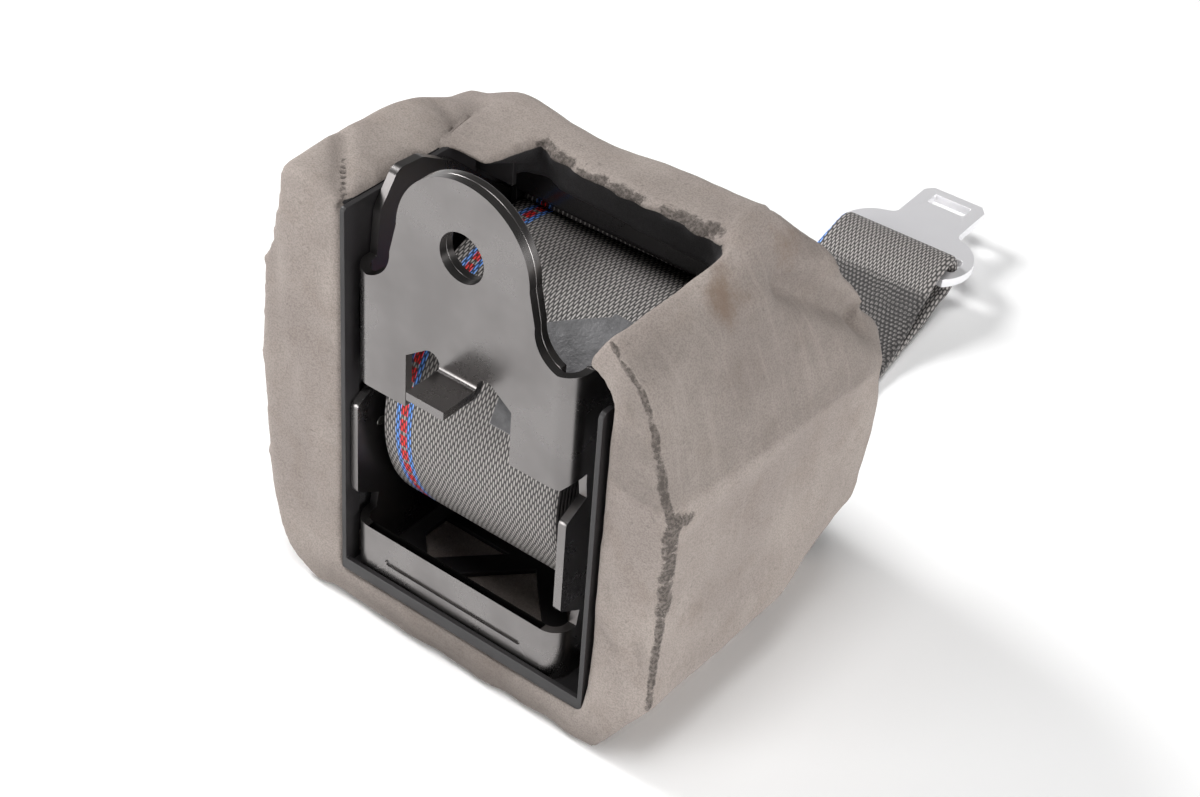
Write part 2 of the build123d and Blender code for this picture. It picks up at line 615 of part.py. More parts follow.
# Foam cover: the outer block is trimmed from the front, the side and above
top_opening_rear = axis_y + TOP_OPENING_REACH
rim_tip = shell_right - 6
with BuildPart() as foam_cover:
    with BuildSketch(Plane.XZ.offset(-FOAM_FRONT)) as front:
        with BuildLine():
            Polyline(
                (foam_left + 16, table_z),
                (foam_left + 7.5, table_z + 4.5),
                (foam_left + 3, table_z + 13.5),
                (foam_left, table_z + 23.5),
                (foam_left, FOAM_TOP - 29.5),
                (foam_left + 7.5, FOAM_TOP),
                (foam_right - 19.5, FOAM_TOP),
                (foam_right - 11, FOAM_TOP - 9),
                (foam_right - 4, FOAM_TOP - 24.5),
                (foam_right, FOAM_TOP - 38.5),
                (foam_right - 1, table_z + 19.5),
                (foam_right - 14.5, table_z),
                close=True,
            )
        make_face()
        fillet(front.vertices(), FOAM_ROUND)
    extrude(amount=-(foam_rear - FOAM_FRONT))
    # The trimming outlines reach past the block where they must not touch it
    spare = 2.0
    with BuildSketch(Plane.YZ.offset(foam_left - spare)) as side:
        with BuildLine():
            Polyline(
                (FOAM_FRONT - spare, table_z - spare),
                (FOAM_FRONT - spare, FOAM_TOP + spare),
                (top_opening_rear + 9.5, FOAM_TOP + spare),
                on_axis(shell_outer + 13.5, 70),
                on_axis(shell_outer + 7.5, 54.4),
                on_axis(shell_outer + 5.0, 38.6),
                on_axis(shell_outer + 4.2, 20.8),
                (foam_rear - 0.1, axis_z - 3),
                (foam_rear - 0.1, table_z + 8),
                (foam_rear - 10, table_z - spare),
                close=True,
            )
        make_face()
        slopes = side.vertices().filter_by_position(Axis.X, top_opening_rear + 10, foam_rear)
        fillet(slopes, FOAM_ROUND)
    extrude(amount=foam_right - foam_left + 2 * spare, mode=Mode.INTERSECT)
    with BuildSketch(Plane.XY.offset(table_z - spare)):
        with BuildLine():
            Polyline(
                (foam_left - spare, FOAM_FRONT - spare),
                (foam_right + spare, FOAM_FRONT - spare),
                (foam_right + spare, foam_rear - 18.7),
                (foam_right - 12, foam_rear + spare),
                (foam_left + 16, foam_rear + spare),
                (foam_left + 4, foam_rear - 8),
                (foam_left - spare, foam_rear - 18),
                close=True,
            )
        make_face()
    extrude(amount=FOAM_TOP - table_z + 2 * spare, mode=Mode.INTERSECT)

    # Facet that rises towards the lower corner at the back on the right
    low_corner = Plane(
        origin=(foam_right, axis_y, table_z + 19.6), z_dir=(0.906, 0.159, -0.392)
    )
    with BuildSketch(low_corner):
        Rectangle(3 * foam_rear, 3 * foam_rear)
    extrude(amount=foam_rear, mode=Mode.SUBTRACT)

    # Front opening, whose right rim leans in to a tip near the top
    shell_gap = FOAM_CLEARANCE
    open_left = shell_left - shell_gap
    open_right = shell_right + shell_gap
    with BuildSketch(Plane.XZ.offset(-FOAM_FRONT + 1)):
        with BuildLine():
            Polyline(
                (open_left, floor_bottom - shell_gap),
                (open_left, FOAM_TOP + spare),
                (rim_tip + 6.5, FOAM_TOP + spare),
                (rim_tip, -TIP_DROP),
                (rim_tip + 4, -TIP_DROP - 2),
                (open_right, -TIP_DROP - 7),
                (open_right, floor_bottom - shell_gap),
                close=True,
            )
        make_face()
    extrude(amount=-(axis_y - FOAM_FRONT + 1), mode=Mode.SUBTRACT)
    # Round cavity that takes the shell, and the top opening behind it
    with BuildSketch(Plane.YZ.offset(open_left)):
        with Locations((axis_y, axis_z)):
            Circle(shell_outer + shell_gap)
    extrude(amount=open_right - open_left, mode=Mode.SUBTRACT)
    with BuildSketch(Plane.XY.offset(axis_z)):
        with BuildLine():
            Polyline(
                (-half_web + 5, axis_y - 9),
                (-half_web + 4, top_opening_rear),
                (-half_web + 9, top_opening_rear + 2.5),
                (-half_web + 15, top_opening_rear),
                (rim_tip, top_opening_rear - 1),
                (rim_tip, axis_y - 9),
                close=True,
            )
        make_face()
    extrude(amount=FOAM_TOP - axis_z + 2, mode=Mode.SUBTRACT)
    with BuildSketch(Plane.YZ.offset(-flange_out - 1)):
        with BuildLine():
            Polyline(
                (axis_y - 10, guide_top + 0.5),
                (axis_y - 10, axis_z + 10),
                (guide_rear + 4, axis_z + 10),
                (guide_rear + 4, guide_top - 9),
                (guide_rear + 1.2, guide_top + 1.2),
                (axis_y, guide_top + 1.2),
                close=True,
            )
        make_face()
    extrude(amount=2 * flange_out + 2, mode=Mode.SUBTRACT)
    # Pockets for the spring cassette and for the locking mechanism
    cassette_room = cassette_x + CASSETTE_LID + SCREW_HEAD + POCKET_GAP
    with BuildSketch(Plane.YZ.offset(-cassette_room)):
        lobes(cassette_lobes, POCKET_GAP)
    extrude(amount=cassette_room - flange_in, mode=Mode.SUBTRACT)
    mechanism_room = cover_x + SCREW_HEAD + POCKET_GAP
    with BuildSketch(Plane.YZ.offset(flange_in)):
        lobes(mechanism_lobes, POCKET_GAP)
    extrude(amount=mechanism_room - flange_in, mode=Mode.SUBTRACT)
    # Slot in the rear wall where the strap comes out
    slot_back = shell_outer - 12.3
    slot_z = strap_height(slot_back)
    slot_plane = Plane(
        origin=(-1, axis_y + slot_back, slot_z),
        x_dir=(1, 0, 0),
        z_dir=(0, cos(leave), -sin(leave)),
    )
    with BuildSketch(slot_plane.offset(-12)):
        RectangleRounded(WEBBING_WIDTH + 7, 4.4, 2)
    extrude(amount=34, mode=Mode.SUBTRACT)
save(foam_cover, "foam_cover")

# Bushes that carry the shaft in the flanges
for name, side in (("left_bush", -1), ("right_bush", 1)):
    with BuildPart() as bush:
        with BuildSketch(Plane.YZ.offset(side * flange_in)):
            with Locations((axis_y, axis_z)):
                Circle(BUSH_RADIUS)
                Circle(SHAFT_RADIUS + RUNNING_GAP, mode=Mode.SUBTRACT)
        extrude(amount=side * SHEET)
        with BuildSketch(Plane.YZ.offset(side * flange_out)):
            with Locations((axis_y, axis_z)):
                Circle(BUSH_HEAD_RADIUS)
                Circle(SHAFT_RADIUS + RUNNING_GAP, mode=Mode.SUBTRACT)
        extrude(amount=side * BUSH_HEAD)
    save(bush, name)

# Spool core with end collars and a pocket for the webbing pin
collar_out = flange_in - COLLAR_GAP
pin_offset = (CORE_RADIUS + SHAFT_RADIUS) / 2 - 0.2
with BuildPart() as spool_core:
    with BuildSketch(Plane.YZ.offset(-collar_out)):
        with Locations((axis_y, axis_z)):
            Circle(COLLAR_RADIUS)
    extrude(amount=2 * collar_out)
    with BuildSketch(Plane.YZ.offset(-half_web)):
        with Locations((axis_y, axis_z)):
            Circle(COLLAR_RADIUS + 1)
            Circle(CORE_RADIUS, mode=Mode.SUBTRACT)
    extrude(amount=WEBBING_WIDTH, mode=Mode.SUBTRACT)
    with BuildSketch(Plane.YZ.offset(-collar_out)):
        with Locations((axis_y, axis_z)):
            Circle(SHAFT_RADIUS)
    extrude(amount=2 * collar_out, mode=Mode.SUBTRACT)
    with BuildSketch(Plane.YZ.offset(-half_web)):
        with Locations((axis_y, axis_z + pin_offset)):
            Circle(WEBBING_PIN_RADIUS)
        with Locations((axis_y, axis_z + pin_offset + CORE_RADIUS / 2)):
            Rectangle(WEBBING_THICKNESS + 0.4, CORE_RADIUS)
    extrude(amount=WEBBING_WIDTH, mode=Mode.SUBTRACT)
save(spool_core, "spool_core")

# Pin that holds the webbing's end in the core
with BuildPart() as webbing_pin:
    with Locations(Location((0, axis_y, axis_z + pin_offset), (0, 90, 0))):
        Cylinder(WEBBING_PIN_RADIUS, WEBBING_WIDTH)
save(webbing_pin, "webbing_pin")

# Wound webbing
with BuildPart() as webbing_roll:
    with BuildSketch(Plane.YZ.offset(-half_web)):
        with Locations((axis_y, axis_z)):
            Circle(ROLL_RADIUS)
            Circle(CORE_RADIUS, mode=Mode.SUBTRACT)
    extrude(amount=WEBBING_WIDTH)
save(webbing_roll, "webbing_roll")

# Spool shaft, from the spring arbor to the inertia disc
arbor_outer = cassette_x - 0.5
shaft_right = inertia_x + INERTIA_THICKNESS + 0.4
with BuildPart() as spool_shaft:
    with BuildSketch(Plane.YZ.offset(-arbor_outer)):
        with Locations((axis_y, axis_z)):
            Circle(SHAFT_RADIUS)
    extrude(amount=arbor_outer + shaft_right)
    chamfer(spool_shaft.edges().filter_by(GeomType.CIRCLE), 0.5)
save(spool_shaft, "spool_shaft")

# Spring cassette: a cup against the left flange, closed by a lid
cup_plate = 1.5
with BuildPart() as spring_cup:
    with BuildSketch(Plane.YZ.offset(-flange_out)):
        lobes(cassette_lobes)
    extrude(amount=-CASSETTE_DEPTH)
    with BuildSketch(Plane.YZ.offset(-flange_out - cup_plate)):
        with Locations((axis_y, axis_z)):
            Circle(CASSETTE_RADIUS - CASSETTE_WALL)
    extrude(amount=-CASSETTE_DEPTH, mode=Mode.SUBTRACT)
    with BuildSketch(Plane.YZ.offset(-flange_out)):
        with Locations((axis_y, axis_z)):
            Circle(BUSH_HEAD_RADIUS + 0.4)
        for at in cassette_screws_at:
            with Locations(at):
                Circle(SCREW_RADIUS)
    extrude(amount=-CASSETTE_DEPTH, mode=Mode.SUBTRACT)
save(spring_cup, "spring_cup")

with BuildPart() as spring_cover:
    with BuildSketch(Plane.YZ.offset(-cassette_x)):
        lobes(cassette_lobes)
        for at in cassette_screws_at:
            with Locations(at):
                Circle(SCREW_RADIUS, mode=Mode.SUBTRACT)
    extrude(amount=-CASSETTE_LID)
save(spring_cover, "spring_cover")

# Clock spring: a flat strip wound in half circles about two centres in turn
with BuildPart() as clock_spring:
    with BuildSketch(Plane.YZ.offset(-arbor_outer + 0.4)):
        shift = SPRING_PITCH / 4
        for half in range(SPRING_HALF_TURNS):
            radius = SPRING_INNER_RADIUS + shift + half * SPRING_PITCH / 2
            side = 1 if half % 2 == 0 else -1
            with BuildLine():
                inner = CenterArc(
                    (axis_y, axis_z + side * shift), radius, 90 * side + 180, 180
                )
                outer = CenterArc(
                    (axis_y, axis_z + side * shift), radius + SPRING_STRIP, 90 * side + 180, 180
                )
                Line(inner @ 0, outer @ 0)
                Line(inner @ 1, outer @ 1)
            make_face()
    extrude(amount=SPRING_WIDTH)
save(clock_spring, "clock_spring")

# Arbor that the spring turns, keyed to the shaft
with BuildPart() as spring_arbor:
    with BuildSketch(Plane.YZ.offset(-arbor_outer)):
        with Locations((axis_y, axis_z)):
            Circle(ARBOR_RADIUS)
            Circle(SHAFT_RADIUS, mode=Mode.SUBTRACT)
        with Locations((axis_y, axis_z + ARBOR_RADIUS)):
            Rectangle(1.0, 4.0, mode=Mode.SUBTRACT)
    extrude(amount=arbor_outer - flange_out - cup_plate - COLLAR_GAP)
save(spring_arbor, "spring_arbor")


def screws(places, head_x, side):
    """Screws with round heads, from a housing's face into the flange."""
    with BuildPart() as group:
        for at in places:
            with BuildSketch(Plane.YZ.offset(side * flange_in)):
                with Locations(at):
                    Circle(SCREW_RADIUS)
            extrude(amount=side * (head_x - flange_in))
            with BuildSketch(Plane.YZ.offset(side * head_x)):
                with Locations(at):
                    Circle(SCREW_HEAD_RADIUS)
            extrude(amount=side * SCREW_HEAD)
    return group


spring_screws = screws(cassette_screws_at, cassette_x + CASSETTE_LID, -1)
save(spring_screws, "spring_screws")
mechanism_screws = screws(mechanism_screws_at, cover_x, 1)
save(mechanism_screws, "mechanism_screws")

# Ratchet wheel with saw teeth and the drive pin of the pilot wheel
tooth_clear = 3.2
with BuildPart() as ratchet_wheel:
    with BuildSketch(wheel_plane(ratchet_x)):
        with BuildLine():
            first_tooth = PAWL_ENGAGE_ANGLE + tooth_clear
            Polyline(
                *saw_teeth(RATCHET_TEETH, RATCHET_TIP_RADIUS, RATCHET_ROOT_RADIUS, first_tooth),
                close=True,
            )
        make_face()
        Circle(SHAFT_RADIUS, mode=Mode.SUBTRACT)
    extrude(amount=RATCHET_THICKNESS)
    with BuildSketch(wheel_plane(ratchet_x + RATCHET_THICKNESS)):
        with Locations((0, DRIVE_PIN_ORBIT)):
            Circle(DRIVE_PIN_RADIUS)
    extrude(amount=pilot_x + PILOT_THICKNESS - ratchet_x - RATCHET_THICKNESS)
save(ratchet_wheel, "ratchet_wheel")

# Pawl, drawn in its engaged place and turned back to rest about its pivot
rest_turn = radians(-PAWL_SWING)
pawl_plane = Plane(
    origin=(pawl_x, *pawl_pivot),
    x_dir=(0, cos(rest_turn), sin(rest_turn)),
    z_dir=(1, 0, 0),
)


def from_pivot(radius, angle):
    """A point about the spool axis, as seen from the pawl's pivot."""
    y, z = on_axis(radius, angle)
    return (y - pawl_pivot[0], z - pawl_pivot[1])


with BuildPart() as locking_pawl:
    with BuildSketch(pawl_plane) as pawl_face:
        with BuildLine():
            Polyline(
                from_pivot(RATCHET_ROOT_RADIUS + 0.5, PAWL_ENGAGE_ANGLE),
                from_pivot(RATCHET_TIP_RADIUS + 1, PAWL_ENGAGE_ANGLE),
                (PAWL_BOSS_RADIUS, 6),
                (PAWL_BOSS_RADIUS, 0),
                (-PAWL_BOSS_RADIUS + 2, 0),
                (-PAWL_BOSS_RADIUS + 2, 6),
                close=True,
            )
        make_face()
        Circle(PAWL_BOSS_RADIUS)
        Circle(PAWL_PIN_RADIUS + RUNNING_GAP, mode=Mode.SUBTRACT)
    extrude(amount=PAWL_THICKNESS)
save(locking_pawl, "locking_pawl")

with BuildPart() as pawl_pin:
    for start_x, length, radius in (
        (flange_in, pawl_x + PAWL_THICKNESS + 1.2 - flange_in, PAWL_PIN_RADIUS),
        (flange_out, pawl_x - 0.15 - flange_out, PAWL_PIN_RADIUS + 1.5),
        (pawl_x + PAWL_THICKNESS + PAWL_GAP, 1.0, PAWL_PIN_RADIUS + 1.3),
    ):
        with BuildSketch(Plane.YZ.offset(start_x)):
            with Locations(pawl_pivot):
                Circle(radius)
        extrude(amount=length)
save(pawl_pin, "pawl_pin")

# Pilot wheel: fine teeth for the sensor lever and a slot that lets it lag
nose_y = axis_y - NOSE_FORWARD
nose_drop = sqrt(PILOT_TIP_RADIUS**2 - NOSE_FORWARD**2)
nose_z = axis_z - nose_drop - NOSE_GAP
nose_angle = -180 + degrees(atan2(nose_drop - 0.7, NOSE_FORWARD))
lag_arc = CenterArc((0, 0), DRIVE_PIN_ORBIT, 89 - PILOT_LAG, PILOT_LAG + 2)
with BuildPart() as pilot_wheel:
    with BuildSketch(wheel_plane(pilot_x)):
        with BuildLine():
            first_tooth = nose_angle + 3.2
            Polyline(
                *saw_teeth(PILOT_TEETH, PILOT_TIP_RADIUS, PILOT_ROOT_RADIUS, first_tooth),
                close=True,
            )
        make_face()
        Circle(SHAFT_RADIUS + RUNNING_GAP, mode=Mode.SUBTRACT)
        SlotArc(lag_arc, 2 * DRIVE_PIN_RADIUS + 0.3, mode=Mode.SUBTRACT)
    extrude(amount=PILOT_THICKNESS)
save(pilot_wheel, "pilot_wheel")

with BuildPart() as inertia_disc:
    with BuildSketch(Plane.YZ.offset(inertia_x)):
        with Locations((axis_y, axis_z)):
            Circle(INERTIA_RADIUS)
            Circle(SHAFT_RADIUS + RUNNING_GAP, mode=Mode.SUBTRACT)
    extrude(amount=INERTIA_THICKNESS)
    chamfer(inertia_disc.edges().group_by(Axis.X)[-1], 0.6)
save(inertia_disc, "inertia_disc")

# Mechanism cover: one moulded cup over the wheels, the pawl and the sensor
with BuildPart() as mechanism_cover:
    with BuildSketch(Plane.YZ.offset(flange_out)):
        lobes(mechanism_lobes)
    extrude(amount=MECHANISM_DEPTH)
    with BuildSketch(Plane.YZ.offset(flange_out)):
        lobes(mechanism_lobes, -MECHANISM_WALL)
        for at in mechanism_screws_at:
            with Locations(at):
                Circle(BOSS_RADIUS, mode=Mode.SUBTRACT)
    extrude(amount=MECHANISM_DEPTH - MECHANISM_WALL, mode=Mode.SUBTRACT)
    with BuildSketch(Plane.YZ.offset(flange_out)):
        for at in mechanism_screws_at:
            with Locations(at):
                Circle(SCREW_RADIUS)
    extrude(amount=MECHANISM_DEPTH, mode=Mode.SUBTRACT)
save(mechanism_cover, "mechanism_cover")

# Sensor: a ball in a conical seat lifts a lever towards the pilot wheel
seat_top = seat_apex + SEAT_HEIGHT
seat_rim = SEAT_HEIGHT / tan(slope)
ear_in = LEVER_WIDTH / 2 + 0.3
ear_out = ear_in + 1.2
ear_top = lever_z + BRACKET_EAR / 2
bracket_front = sensor_front + 1.5
bracket_rear = ball_y + BRACKET_DEPTH / 2
with BuildPart() as sensor_bracket:
    with BuildSketch(Plane.XY.offset(sensor_bottom)):
        with Locations((ball_x, (bracket_front + bracket_rear) / 2)):
            Rectangle(BRACKET_WIDTH, bracket_rear - bracket_front)
        with Locations(((flange_out + ball_x) / 2, ball_y)):
            Rectangle(ball_x - flange_out, BRACKET_WIDTH)
    extrude(amount=BRACKET_FLOOR)
    with BuildSketch(Plane.XY.offset(sensor_bottom)):
        with Locations((ball_x, ball_y)):
            Rectangle(BRACKET_WIDTH, BRACKET_DEPTH)
    extrude(amount=seat_top - sensor_bottom)
    with Locations((ball_x, ball_y, (seat_apex + seat_top) / 2)):
        Cone(0, seat_rim, seat_top - seat_apex, mode=Mode.SUBTRACT)
    for start_x in (ball_x - ear_out, ball_x + ear_in):
        with BuildSketch(Plane.YZ.offset(start_x)) as ear:
            with Locations((lever_y, (sensor_bottom + ear_top) / 2)):
                Rectangle(BRACKET_EAR, ear_top - sensor_bottom)
            fillet(ear.vertices().group_by(Axis.Y)[-1], 2)
            with Locations((lever_y, lever_z)):
                Circle(LEVER_PIN_RADIUS + RUNNING_GAP, mode=Mode.SUBTRACT)
        extrude(amount=ear_out - ear_in)
save(sensor_bracket, "sensor_bracket")

with BuildPart() as sensor_ball:
    with Locations((ball_x, ball_y, ball_z)):
        Sphere(BALL_RADIUS)
save(sensor_ball, "sensor_ball")

with BuildPart() as sensor_lever:
    with BuildSketch(Plane.YZ.offset(ball_x - LEVER_WIDTH / 2)):
        with BuildLine():
            under = lever_z - LEVER_THICKNESS / 2
            over = lever_z + LEVER_THICKNESS / 2
            Polyline(
                (lever_y, under),
                (nose_y + 0.5, under),
                (nose_y + 0.5, nose_z),
                (nose_y - 0.5, nose_z),
                (nose_y - 1.7, over),
                (lever_y, over),
                close=True,
            )
        make_face()
        with Locations((lever_y, lever_z)):
            Circle(LEVER_PIN_RADIUS + 0.8)
    extrude(amount=LEVER_WIDTH)
    with Locations(Location((ball_x, lever_y, lever_z), (0, 90, 0))):
        Cylinder(LEVER_PIN_RADIUS, 2 * ear_out)
save(sensor_lever, "sensor_lever")

# Free strap: over the shell's lip, down the back, along the table, and round the bar
table_line = table_z + WEBBING_THICKNESS / 2
bar_back = (TONGUE_REACH - axis_y) / cos(turn)
bar_z = table_z + TONGUE_LIFT
loop_radius = hypot(TONGUE_BAR / 2, TONGUE_THICKNESS / 2) + SOFT_GAP + WEBBING_THICKNESS / 2
loop_end = bar_back + loop_radius
lower_start = (bar_back - LOOP_LEAD, table_line)
upper_start = (lower_start[0] - LOOP_STEP, table_line + WEBBING_THICKNESS + 0.1)
drop_back = foam_rear - axis_y + STRAP_REAR_GAP
across = (cos(turn), sin(turn), 0)


def tangent_height(start, side):
    """Height where a line from start, tangent to the loop, meets the loop's far side."""
    back, rise = bar_back - start[0], bar_z - start[1]
    aim = atan2(rise, back) + side * asin(loop_radius / hypot(back, rise))
    return start[1] + tan(aim) * (loop_end - start[0])


def strap_point(back, z):
    """A point on the strap's middle line at a distance behind the spool axis."""
    return (-back * sin(turn), axis_y + back * cos(turn), z)


with BuildPart() as webbing_strap:
    with BuildLine(strap_plane) as strap_path:
        FilletPolyline(
            strap_start,
            (shell_outer - 3.5, strap_height(shell_outer - 3.5)),
            (shell_outer + 3.5, axis_z + 17),
            (drop_back, axis_z + 2),
            (drop_back + 0.5, table_line + 12),
            (drop_back + 11, table_line),
            lower_start,
            (loop_end, tangent_height(lower_start, -1)),
            (loop_end, tangent_height(upper_start, 1)),
            upper_start,
            (upper_start[0] - STRAP_LAP, upper_start[1]),
            radius=[8, 14, 30, 8, 8, 12, loop_radius, loop_radius, 12],
        )
    start_plane = Plane(
        origin=strap_point(*strap_start),
        x_dir=across,
        z_dir=strap_path.line % 0,
    )
    with BuildSketch(start_plane):
        Rectangle(WEBBING_WIDTH, WEBBING_THICKNESS)
    sweep(path=strap_path.line)
    # Both edges are folded in, more and more towards the tongue's slot
    fold_plane = Plane(origin=(0, axis_y, table_z - 1), x_dir=across, z_dir=(0, 0, 1))
    with BuildSketch(fold_plane):
        for side in (-1, 1):
            with BuildLine():
                Polyline(
                    (side * (half_web + 1), bar_back - FOLD_REACH),
                    (side * (FOLD_HALF_WIDTH + 1.5), bar_back - 20),
                    (side * FOLD_HALF_WIDTH, bar_back - 6),
                    (side * FOLD_HALF_WIDTH, loop_end + 2),
                    (side * (half_web + 1), loop_end + 2),
                    close=True,
                )
            make_face()
    extrude(amount=2 * TONGUE_LIFT, mode=Mode.SUBTRACT)
save(webbing_strap, "webbing_strap")

# Tongue: a flat steel plate whose bar lies in the strap's loop
slot_half = FOLD_HALF_WIDTH + 0.8
base_half = TONGUE_BASE_HALF_WIDTH
blade_half = TONGUE_BLADE_HALF_WIDTH
tongue_start = -TONGUE_BAR / 2
tongue_end = tongue_start + TONGUE_LENGTH
tongue_plane = Plane(
    origin=strap_point(bar_back, bar_z - TONGUE_THICKNESS / 2), x_dir=across, z_dir=(0, 0, 1)
)
with BuildPart() as tongue:
    with BuildSketch(tongue_plane) as plate:
        with BuildLine():
            ear = ThreePointArc(
                (base_half - 3.0, tongue_start),
                (base_half, tongue_start + 11.5),
                (blade_half + 2.2, tongue_start + 19.8),
            )
            neck = ThreePointArc(
                ear @ 1, (blade_half + 0.5, tongue_start + 20.9), (blade_half, tongue_start + 22.5)
            )
            Polyline(
                neck @ 1,
                (blade_half, tongue_end - 2.5),
                (blade_half - 2.0, tongue_end),
                (0, tongue_end),
                (0, tongue_start),
                ear @ 0,
            )
        make_face()
        mirror(about=Plane.YZ)
        with Locations((0, tongue_start + TONGUE_BAR + TONGUE_SLOT / 2)):
            RectangleRounded(2 * slot_half, TONGUE_SLOT, 1.5, mode=Mode.SUBTRACT)
        with Locations((0, tongue_end - 5.4)):
            RectangleRounded(LATCH_WIDTH, LATCH_LENGTH, 0.6, mode=Mode.SUBTRACT)
    extrude(amount=TONGUE_THICKNESS)
save(tongue, "tongue")
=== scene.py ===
"""Finish of a seat belt retractor: foam cover, black steel, woven webbing, tongue.

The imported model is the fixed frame. Lengths are metres: X right, Y back, Z up, from the
centre of the anchor hole.
"""

from math import cos, exp, pi, radians, sin

import bmesh
import bpy
from mathutils import Matrix, Vector, noise


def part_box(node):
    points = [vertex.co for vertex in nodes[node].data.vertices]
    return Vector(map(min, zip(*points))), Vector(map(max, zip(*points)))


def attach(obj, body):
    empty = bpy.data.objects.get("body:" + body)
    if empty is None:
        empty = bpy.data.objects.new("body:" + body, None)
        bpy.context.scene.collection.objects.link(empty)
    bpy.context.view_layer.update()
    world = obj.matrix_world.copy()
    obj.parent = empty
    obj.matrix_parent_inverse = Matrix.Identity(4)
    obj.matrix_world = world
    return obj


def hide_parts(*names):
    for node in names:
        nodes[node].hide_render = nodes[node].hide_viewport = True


MM = 0.001
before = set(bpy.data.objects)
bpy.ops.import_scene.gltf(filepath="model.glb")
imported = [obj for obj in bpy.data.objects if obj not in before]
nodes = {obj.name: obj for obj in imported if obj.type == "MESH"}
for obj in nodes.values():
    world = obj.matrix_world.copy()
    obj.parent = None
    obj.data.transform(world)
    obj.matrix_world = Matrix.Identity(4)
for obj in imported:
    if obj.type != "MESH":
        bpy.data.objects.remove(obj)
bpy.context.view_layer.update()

WEB_WIDTH = 48 * MM
WEB_THICKNESS = 1.2 * MM
ROLL_RADIUS = 37 * MM
AXIS = Vector((0, 41, -56.5)) * MM
FLOOR_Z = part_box("foam_cover")[0][2]

scene = bpy.context.scene


# Camera at the photograph's angle, fitted for a frame of 1200 by 797
CAMERA_PLACE = (0.24861, -0.29723, 0.26877)
CAMERA_AZIMUTH = radians(35.6)
CAMERA_ELEVATION = radians(37.9)
CAMERA_ROLL = radians(4.35)
SENSOR_WIDTH = 36
FOCAL_LENGTH = 72


def place_camera():
    level_share = cos(CAMERA_ELEVATION)
    back = Vector((
        sin(CAMERA_AZIMUTH) * level_share, -cos(CAMERA_AZIMUTH) * level_share, sin(CAMERA_ELEVATION)
    ))
    level = Vector((cos(CAMERA_AZIMUTH), sin(CAMERA_AZIMUTH), 0))
    rise = back.cross(level)
    right = cos(CAMERA_ROLL) * level + sin(CAMERA_ROLL) * rise
    up = cos(CAMERA_ROLL) * rise - sin(CAMERA_ROLL) * level
    data = bpy.data.cameras.new("camera")
    data.sensor_width = SENSOR_WIDTH
    data.lens = FOCAL_LENGTH
    camera = bpy.data.objects.new("camera", data)
    turn = Matrix((right, up, back)).transposed().to_4x4()
    camera.matrix_world = Matrix.Translation(CAMERA_PLACE) @ turn
    scene.collection.objects.link(camera)
    scene.camera = camera


# Shader trees
def shade(tree, kind, inputs=None, **settings):
    """Add a node, set its properties, and fill its inputs with values or sockets."""
    made = tree.nodes.new(kind)
    for name, value in settings.items():
        setattr(made, name, value)
    for name, value in (inputs or {}).items():
        if isinstance(value, bpy.types.NodeSocket):
            tree.links.new(value, made.inputs[name])
        else:
            made.inputs[name].default_value = value
    return made


def maths(tree, operation, first, second=0.0, third=0.0):
    made = shade(tree, "ShaderNodeMath", {0: first, 1: second, 2: third}, operation=operation)
    return made.outputs[0]


def product(tree, first, second):
    return maths(tree, "MULTIPLY", first, second)


def scaled(tree, value, factor, offset):
    return maths(tree, "MULTIPLY_ADD", value, factor, offset)


def spread(tree, value, low, high):
    """Map a value smoothly from a range to 0 to 1."""
    limits = {"Value": value, "From Min": low, "From Max": high}
    made = shade(tree, "ShaderNodeMapRange", limits, interpolation_type="SMOOTHSTEP")
    return made.outputs["Result"]


def blend_colours(tree, share, first, second):
    return shade(tree, "ShaderNodeMix", {0: share, 6: first, 7: second}, data_type="RGBA").outputs[2]


def tint(tree, colour, other, share, strength):
    """Move a colour towards another by a share and a strength."""
    return blend_colours(tree, product(tree, share, strength), colour, other)


def grain(tree, vector, scale, detail=3.0, rough=0.55):
    made = shade(
        tree, "ShaderNodeTexNoise", {"Vector": vector, "Scale": scale, "Detail": detail, "Roughness": rough}
    )
    return made.outputs[0]


def object_place(tree):
    return shade(tree, "ShaderNodeTexCoord").outputs["Object"]


def stretched(tree, vector, stretch, turn=(0, 0, 0)):
    """A space turned and stretched, for streaks that run one way."""
    settings = {"Vector": vector, "Rotation": turn, "Scale": stretch}
    return shade(tree, "ShaderNodeMapping", settings).outputs[0]


def mask(tree, name):
    """A value painted on the piece's points or faces."""
    return shade(tree, "ShaderNodeAttribute", attribute_name=name).outputs["Fac"]


def grey(value):
    return (value, value, value, 1)


def srgb(red, green, blue):
    """A linear colour from the usual 0 to 255 values."""
    channels = []
    for value in (red, green, blue):
        value /= 255
        channels.append(value / 12.92 if value <= 0.04045 else ((value + 0.055) / 1.055) ** 2.4)
    return (*channels, 1)


GROUP_OUTPUTS = (("Colour", "Color"), ("Roughness", "Float"), ("Height", "Float"))


def new_group(name, inputs):
    """A node group with inputs as (name, kind, value), and colour, roughness and height out."""
    tree = bpy.data.node_groups.new(name, "ShaderNodeTree")
    for label, kind, value in inputs:
        socket = tree.interface.new_socket(label, in_out="INPUT", socket_type="NodeSocket" + kind)
        socket.default_value = value
    for label, kind in GROUP_OUTPUTS:
        tree.interface.new_socket(label, in_out="OUTPUT", socket_type="NodeSocket" + kind)
    entry = tree.nodes.new("NodeGroupInput").outputs
    leave = tree.nodes.new("NodeGroupOutput").inputs
    return tree, entry, leave


def close_group(tree, leave, colour, roughness, height):
    """Lead the three results out of a group."""
    tree.links.new(colour, leave["Colour"])
    tree.links.new(roughness, leave["Roughness"])
    tree.links.new(height, leave["Height"])
    return tree


